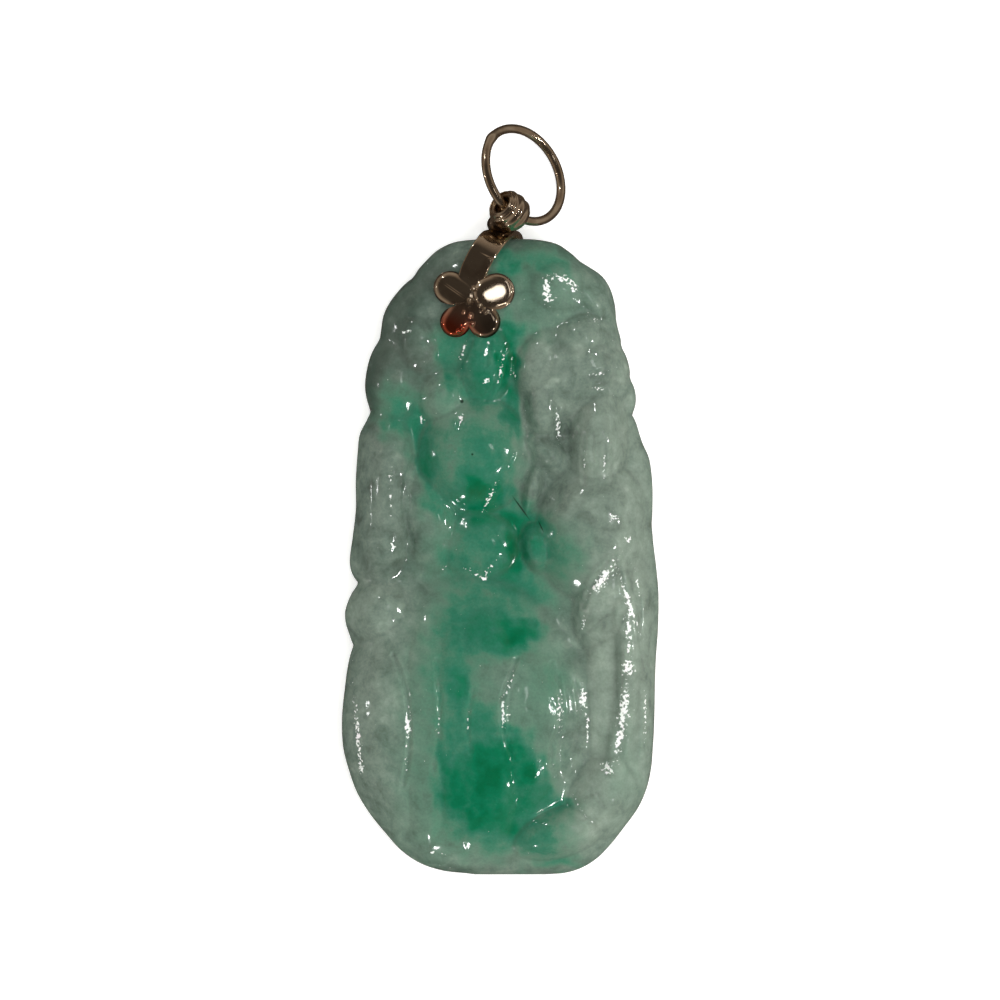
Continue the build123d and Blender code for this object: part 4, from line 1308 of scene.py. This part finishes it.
@dataclass
class Blossom:
    """The plum blossom on the bail's front end: domed petals, the strap's tongue and beads, flat below."""

    middle: Array
    base: float
    reach: float = 1.75
    petal_radius: float = 1.22
    petal_edge: float = 0.22
    softness: float = 0.030
    farthest: float = 1.6
    crease_width: float = 0.09
    crease_end: float = 1.2
    rim_place: float = 0.84
    rim_width: float = 0.09
    fold_heading: float = 118.0
    fold_place: float = 0.05
    fold_fall: float = 0.10
    window_heading: float = 20.0
    window_slope: float = 0.24
    bead_fall: float = 0.10
    heart_height: float = 0.50
    heart_slope: float = 0.12
    tongue_height: float = 0.60
    tongue_slope: float = 0.13
    tongue_lean: float = 0.02
    tongue_side: float = 0.4
    tongue_end: float = 3.0
    rings: int = 64
    spokes: int = 300
    first_ring: float = 0.01
    fade: float = 1.4
    bare_heart: float = 0.2
    # The painted red reflection lies on the petal between these headings.
    red_reflection_headings: tuple[float, float] = (200.0, 285.0)
    # Painted shade darkens the petal round this heading, and the rims of all petals but the first.
    shaded_petal_heading: float = 312.0
    shaded_petal_spread: float = 24.0
    petal_shade: float = 0.65
    edge_shade: float = 0.70
    edge_start: float = 0.93
    edge_width: float = 0.05
    unshaded_reach: float = 30.0
    unshaded_fade: float = 15.0

    def height(self, x: Array, y: Array) -> Array:
        """Work out the blossom's height over its base.

        Each petal runs from its root to its own centre, and its radius is the distance from that line. It is
        a pillow, which falls from its crown to its edge with the sixth power of the radius and to both sides
        of its middle line with the square of the distance. A crease runs along that line and a rim just
        inside the edge, both bells. A bead is a slope towards the window that falls off with the eighth
        power of the distance, the heart a flat cone, and the tongue the strap's end, flat across with steep
        sides. A soft maximum joins them.

        Args:
            x: X of the points from the middle.
            y: Y of the points from the middle.

        Returns:
            The height of each point.
        """
        heading, reach, size, root, crown, swell, crease, rim, tilt = np.array(PETALS).T[..., None, None]
        along, beside = turned(x, y, heading)
        middle, wide = reach * self.reach, size * self.petal_radius
        past = along - np.clip(along, np.minimum(root, middle), middle)
        radius = np.minimum(np.hypot(past, beside) / wide, self.farthest)
        petals = crown - (crown - self.petal_edge) * radius**6 - tilt * (along - middle)
        petals -= swell * (beside / wide) ** 2
        petals -= crease * bell(beside / self.crease_width) * np.clip(self.crease_end - radius, 0, 1)
        outer = np.clip((along - middle) / wide, 0, 1)
        petals += rim * bell((radius - self.rim_place) / self.rim_width) * outer
        # The facet of the first petal ends in a fold towards its upper left.
        behind = turned(x, y, self.fold_heading)[0] - self.fold_place
        petals[0] -= self.fold_fall * np.clip(behind, 0, None) ** 2
        bead_x, bead_y, bead, top = np.array(BEADS).T[..., None, None]
        off = np.minimum(np.hypot(x - bead_x, y - bead_y) / bead, self.farthest)
        beads = top - self.window_slope * turned(x - bead_x, y - bead_y, self.window_heading)[0]
        beads -= self.bead_fall * off**8
        heart = self.heart_height - self.heart_slope * np.hypot(x, y)
        tongue = self.tongue_height - self.tongue_slope * y
        tongue -= self.tongue_side * np.abs(x - self.tongue_lean * y) ** 8
        tongue -= self.tongue_end * np.clip(-y, 0, None)
        return soft_maximum(np.concatenate((petals, beads, heart[None], tongue[None])), self.softness)[0]

    def surface(self) -> Surface:
        """Spread rings of points from the middle to the petals' outline, and close them underneath.

        Along each spoke the outline is the farthest place where it leaves a petal's circle: the way to the
        circle's middle along the spoke, and from there the other side of a right triangle whose longest side
        is the radius.
        """
        spoke = round_angles(self.spokes)
        heading, reach, size = np.array(PETALS).T[:3, :, None]
        off = spoke - np.radians(heading)
        distance, radius = reach * self.reach, size * self.petal_radius
        inside = np.clip(radius**2 - (distance * np.sin(off)) ** 2, 0, None)
        outline = np.where(inside > 0, distance * np.cos(off) + np.sqrt(inside), 0.0).max(axis=0)
        share = np.sin(np.linspace(self.first_ring, 1, self.rings) * np.pi / 2)[:, None]
        x, y = share * outline * np.cos(spoke), share * outline * np.sin(spoke)
        top = self.height(x, y)
        top[-1] = np.minimum(top[-1], self.petal_edge)
        grid = np.stack((self.middle[0] + x, self.middle[1] + y, self.base + top), axis=-1)
        under = grid[[-1, 0]]
        under[..., 2] = self.base
        surface = Surface.from_grid(np.concatenate((grid, under)))
        surface.marks = self.marks(surface.points[:, :2] - self.middle, share[:, 0])
        return surface

    def marks(self, flat: Array, share: Array) -> dict[Mark, Array]:
        """Mark the painted red reflection on a lower petal, and painted shade on one petal and the others'
        edges.

        Args:
            flat: The points from the middle, as rows of X and Y.
            share: How far out each ring of points lies, but for the two underneath.

        Returns:
            A share from 0 to 1 for each point, by what it marks.
        """
        angle = np.degrees(np.arctan2(flat[:, 1], flat[:, 0])) % 360
        far = np.clip(np.hypot(*flat.T) / self.reach - self.bare_heart, 0, 1)
        first, last = self.red_reflection_headings
        off_red_reflection = np.abs(angle - (first + last) / 2) / ((last - first) / 2)
        off_shaded_petal = np.abs(angle - self.shaded_petal_heading) / self.shaded_petal_spread
        ring = np.concatenate((np.clip((share - self.edge_start) / self.edge_width, 0, 1), (1.0, 1.0)))
        off_first = np.abs((angle - PETALS[0][0] + 180) % 360 - 180)
        dull = np.clip((off_first - self.unshaded_reach) / self.unshaded_fade, 0, 1)
        grime = self.petal_shade * np.clip(self.fade - off_shaded_petal, 0, 1) * far
        grime += self.edge_shade * np.repeat(ring, self.spokes) * dull
        return {Mark.RED: np.clip(self.fade - off_red_reflection, 0, 1) * far, Mark.GRIME: np.clip(grime, 0, 1)}


@dataclass
class Eye:
    """The fat fluted loop on the bail's arch that the ring passes through, and the neck under it."""

    ring: JumpRing
    foot: Array
    radius: float = 0.95
    wall: float = 0.82
    width: float = 1.9
    turn: float = 15.0
    flutes: int = 9
    flute: float = 0.12
    saddle_radius: float = 0.60
    neck_radius: float = 0.75
    neck_inset: float = 0.20
    # Painted shade darkens the neck under the loop, together with grime round the solder.
    neck_grime_and_shade: float = 0.85
    neck_flatness: float = 1.30
    neck_rounding: float = 0.45
    steps: int = 120
    sides: int = 48
    neck_steps: int = 24

    def __post_init__(self) -> None:
        """Run the hole nearly along the ring's wire, turned a little up."""
        angle = np.radians(self.turn)
        self.axis = unit(self.ring.wire_way * np.cos(angle) + np.array((0, 0, np.sin(angle))))

    def loop(self) -> Surface:
        """Turn an oval round the hole, its radius fluted by a cosine."""
        first, second = square_to(self.axis, (0, 0, 1))
        turn = round_angles(self.steps)[:, None]
        side = round_angles(self.sides)
        fluted = 1 + self.flute * np.cos(self.flutes * side)
        spread = self.radius + self.wall / 2 * fluted * np.cos(side)
        rise = self.width / 2 * fluted * np.sin(side)
        out = np.cos(turn) * first + np.sin(turn) * second
        grid = self.ring.eye + spread[:, None] * out[:, None] + rise[:, None] * self.axis
        return Surface.from_grid(grid, round_rows=True)

    def neck(self) -> Surface:
        """Flare an oval neck from the loop down to the strap.

        Its radius goes over to the saddle's with the square of the way down, and is rounded off at the top
        with the sixth power of the way up.
        """
        to_foot = self.foot - self.ring.eye
        flat = to_foot - self.axis * (to_foot @ self.axis)
        limb = self.ring.eye + (self.radius + self.neck_inset) * unit(flat)
        rise = limb - self.foot
        first, second = square_to(unit(rise), (1.0, 0.0, 0.0))
        up = np.linspace(0, 1, self.neck_steps)
        radius = self.neck_radius + (self.saddle_radius - self.neck_radius) * (1 - up) ** 2
        radius *= 1 - self.neck_rounding * up**6
        side = round_angles(self.sides)[:, None]
        out = np.cos(side) * first + self.neck_flatness * np.sin(side) * second
        surface = Surface.from_grid(self.foot + up[:, None, None] * rise + radius[:, None, None] * out)
        # Painted shade on the neck under the loop, with grime round the solder.
        surface.marks[Mark.GRIME] = np.full(len(surface.points), self.neck_grime_and_shade)
        return surface


@dataclass
class Bail:
    """The gold bail, soldered into one: strap, blossom, eye with its neck, and the hidden peg."""

    material: bpy.types.Material
    jade: JadeCarving
    ring: JumpRing
    bore_across: float = -0.192
    bore_up: float = 0.900
    fit_gap: float = 0.12
    button_height: float = 0.95
    rise: float = 4.95
    lean: float = 2.5
    eye_seat: float = 0.1
    strap_width: float = 1.9
    strap_thickness: float = 0.35
    strap_corners: tuple[float, float] = (0.30, 0.60)
    strap_steps: int = 520
    strap_sides: int = 48
    strap_top: float = 7.0
    crease_across: float = 1.32
    crease_up: float = 3.08
    crease_half: float = 0.52
    crease_slant: float = -0.21
    crease_spread: float = 0.06
    crease_rise: float = 0.11
    peg_diameter: float = 0.9
    peg_sides: int = 32

    def __post_init__(self) -> None:
        """Work out the bail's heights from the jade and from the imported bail's box."""
        self.peg = np.array((self.bore_across * self.jade.half_width, self.bore_up * self.jade.height))
        self.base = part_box("bail")[1].z / MM - self.button_height
        self.front = self.base + self.strap_thickness / 2
        end_up, _, _, end_turn = STRAP[-1]
        slant = self.strap_width / 2 * abs(np.sin(np.radians(end_turn)))
        leg_end = self.peg[1] + end_up * self.rise - slant
        self.back = self.jade.back_over(leg_end) - self.fit_gap - self.strap_thickness / 2
        self.peg[1] += self.jade.low_end

    def strap_line(self, place: Array) -> tuple[Array, Array]:
        """Follow the strap's middle line.

        Args:
            place: Places along the strap's table, from 0 to its last row.

        Returns:
            The line's points, and the strap's slant there in radians.
        """
        up, lean, depth, turn = along_table(np.arange(len(STRAP)), np.array(STRAP), place).T
        x, y = self.peg[0] + lean * self.lean, self.peg[1] + up * self.rise
        return np.stack((x, y, self.back + depth * (self.front - self.back)), axis=-1), np.radians(turn)

    def strap(self) -> Surface:
        """Carry a rectangle with rounded corners along the strap's line.

        Its half sizes go with the cosine and the sine of the way round, each raised to a power below 1. A
        crease, a bell's lift of the outer face, crosses the front leg.
        """
        place = np.linspace(0, len(STRAP) - 1, self.strap_steps)
        line, angle = self.strap_line(place)
        way = unit(np.gradient(line, axis=0))
        across = np.stack((np.cos(angle), np.sin(angle), np.zeros_like(angle)), axis=-1)
        across = unit(across - way * np.sum(across * way, axis=1, keepdims=True))
        out = np.cross(across, way)
        side = round_angles(self.strap_sides)
        wide, thick = (
            (np.sign(share) * np.abs(share) ** power * size / 2)[:, None]
            for share, power, size in zip(
                (np.cos(side), np.sin(side)), self.strap_corners, (self.strap_width, self.strap_thickness)
            )
        )
        grid = line[:, None] + wide * across[:, None] + thick * out[:, None]
        beside = grid[..., 0] - self.peg[0] - self.crease_across
        off = grid[..., 1] - self.peg[1] - self.crease_up - self.crease_slant * beside
        crease = bell(off / self.crease_spread) * bell(beside / self.crease_half, 4)
        lift = self.crease_rise * crease * (np.sin(side) > 0) * (place < self.strap_top)[:, None]
        return Surface.from_grid(grid + lift[..., None] * out[:, None])

    def peg_pin(self) -> Surface:
        """Stand the plain peg in the bore, from the back leg to the front one."""
        side = round_angles(self.peg_sides)
        circle = self.peg + self.peg_diameter / 2 * np.stack((np.cos(side), np.sin(side)), axis=-1)
        ends = [np.insert(circle, 2, level, axis=1) for level in (self.back, self.front)]
        return Surface.from_grid(np.stack(ends))

    def build(self) -> list[bpy.types.Object]:
        """Build and dress the bail's pieces."""
        arch = float(np.argmax(np.array(STRAP)[:, 0])) - self.eye_seat
        eye = Eye(self.ring, self.strap_line(np.array((arch,)))[0][0])
        shapes = {
            "bail_strap": [self.strap(), self.peg_pin()],
            "bail_blossom": [Blossom(self.peg, self.base).surface()],
            "bail_eye": [eye.loop(), eye.neck()],
        }
        pieces = [make_piece(name, surfaces, self.material) for name, surfaces in shapes.items()]
        for piece in pieces:
            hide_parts("bail")
        return pieces


@dataclass(frozen=True)
class Lamp:
    """A square lamp that faces the pendant.

    Attributes:
        name: The lamp's name.
        heading: Where it hangs, in degrees from +X towards +Y.
        height: Its height over the horizon, in degrees.
        distance: How far it is from the pendant.
        side: Its side.
        power: Its power in watts.
        gloss: Whether it shows in polished surfaces.
        colour: Its hex colour.
    """

    name: str
    heading: float
    height: float
    distance: float
    side: float
    power: float
    gloss: Gloss = Gloss.SHOWN
    colour: str = "#ffffff"

    def hang(self) -> None:
        """Hang the lamp."""
        light = bpy.data.lights.new(self.name, "AREA")
        light.energy = self.power
        light.size = self.side * MM
        light.color = linear(self.colour)[:3]
        lamp = bpy.data.objects.new(self.name, light)
        turn, rise = np.radians((self.heading, self.height))
        way = np.array((np.cos(turn) * np.cos(rise), np.sin(turn) * np.cos(rise), np.sin(rise)))
        lamp.location = way * self.distance * MM
        lamp.rotation_euler = lamp.location.to_track_quat("Z", "Y").to_euler()
        lamp.visible_glossy = self.gloss.value
        bpy.context.scene.collection.objects.link(lamp)


@dataclass
class Studio:
    """The pale floor, the soft studio light and the camera straight above."""

    finish: LightTableFinish
    floor_side: float = 3000.0
    floor_drop: float = 0.01
    image_side: int = 1000
    pixels_to_mm: int = 14
    focus_height: float = 2.6
    camera_distance: float = 600.0
    camera_up: float = -0.06
    near_limit: float = 10.0
    sensor: float = 36.0
    table: str = "#4a423c"
    wall: str = "#968d84"
    upper_wall: str = "#82776d"
    ceiling: str = "#3e3934"
    room_stops: tuple[float, ...] = (0.35, 0.50, 0.68, 0.88)
    lamps: tuple[Lamp, ...] = (
        Lamp("overhead_softbox", 0, 88, 900, 800, 8.2, Gloss.HIDDEN),
        Lamp("right_softbox", 330, 50, 1000, 700, 3.2, Gloss.HIDDEN, "#fffdf8"),
        Lamp("window", 23, 62.7, 800, 96, 0.08),
        Lamp("left_lamp", 178, 8, 700, 28, 0.055),
        Lamp("right_lamp", 6, 34, 700, 36, 0.32),
        Lamp("low_right_lamp", 328, 40, 700, 34, 0.26),
        Lamp("upper_lamp", 118, 30, 700, 30, 0.2),
        Lamp("lower_lamp", 252, 10, 800, 50, 0.4),
    )

    def build(self) -> None:
        """Build the floor, the room's dim light, the lamps and the camera."""
        self.build_floor()
        self.light_room()
        for lamp in self.lamps:
            lamp.hang()
        self.place_camera()
        bpy.context.scene.view_settings.view_transform = "Standard"

    def build_floor(self) -> None:
        """Lay the square floor just under the pendant."""
        half, drop = self.floor_side / 2 * MM, self.floor_drop * MM
        corners = [(-half, -half, -drop), (half, -half, -drop), (half, half, -drop), (-half, half, -drop)]
        mesh = bpy.data.meshes.new("floor")
        mesh.from_pydata(corners, [], [(0, 1, 2, 3)])
        mesh.materials.append(self.finish.material())
        floor = bpy.data.objects.new("floor", mesh)
        floor.visible_glossy = False
        bpy.context.scene.collection.objects.link(floor)

    def light_room(self) -> None:
        """Colour the room by height, with walls that are lighter than the ceiling and the table's edge."""
        world = bpy.data.worlds.new("dim_room")
        world.use_nodes = True
        world.node_tree.nodes.clear()
        node = partial(add_node, world.node_tree)
        way = node(Kind.COORDINATES, output="Generated")
        level = node(Kind.VECTOR, {0: way, 1: (0.0, 0.0, 1.0)}, output="Value", operation="DOT_PRODUCT")
        height = node(Kind.RANGE, between(level, (-1.0, 1.0)))
        stops = zip(self.room_stops, (self.table, self.wall, self.upper_wall, self.ceiling))
        tint = node(Kind.RAMP, {"Fac": height}, stops=stops)
        node(Kind.WORLD, {"Surface": node(Kind.BACKGROUND, {"Color": tint, "Strength": 1.0})})
        bpy.context.scene.world = world

    def place_camera(self) -> None:
        """Look straight down, with a long lens that takes in the image's side at the focus height."""
        camera = bpy.data.cameras.new("camera")
        camera.sensor_width = self.sensor
        camera.lens = self.sensor * self.camera_distance / (self.image_side / self.pixels_to_mm)
        camera.clip_start = self.near_limit * MM
        eye = bpy.data.objects.new("camera", camera)
        eye.location = (0, self.camera_up * MM, (self.focus_height + self.camera_distance) * MM)
        bpy.context.scene.collection.objects.link(eye)
        bpy.context.scene.camera = eye


def main() -> None:
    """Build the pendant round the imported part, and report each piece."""
    logging.basicConfig(level=logging.INFO, format="%(message)s")
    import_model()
    jade = JadeCarving(JadeiteFinish(), low_end=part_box("jade_carving")[0].y / MM)
    pieces = [jade.build()]
    gold = GoldFinish().material()
    ring = JumpRing(gold)
    pieces += [ring.build(), *Bail(gold, jade, ring).build()]
    for piece in pieces:
        LOG.info("%s: %d points, %d faces", piece.name, len(piece.data.vertices), len(piece.data.polygons))
    Studio(LightTableFinish()).build()


if __name__ == "__main__":
    main()
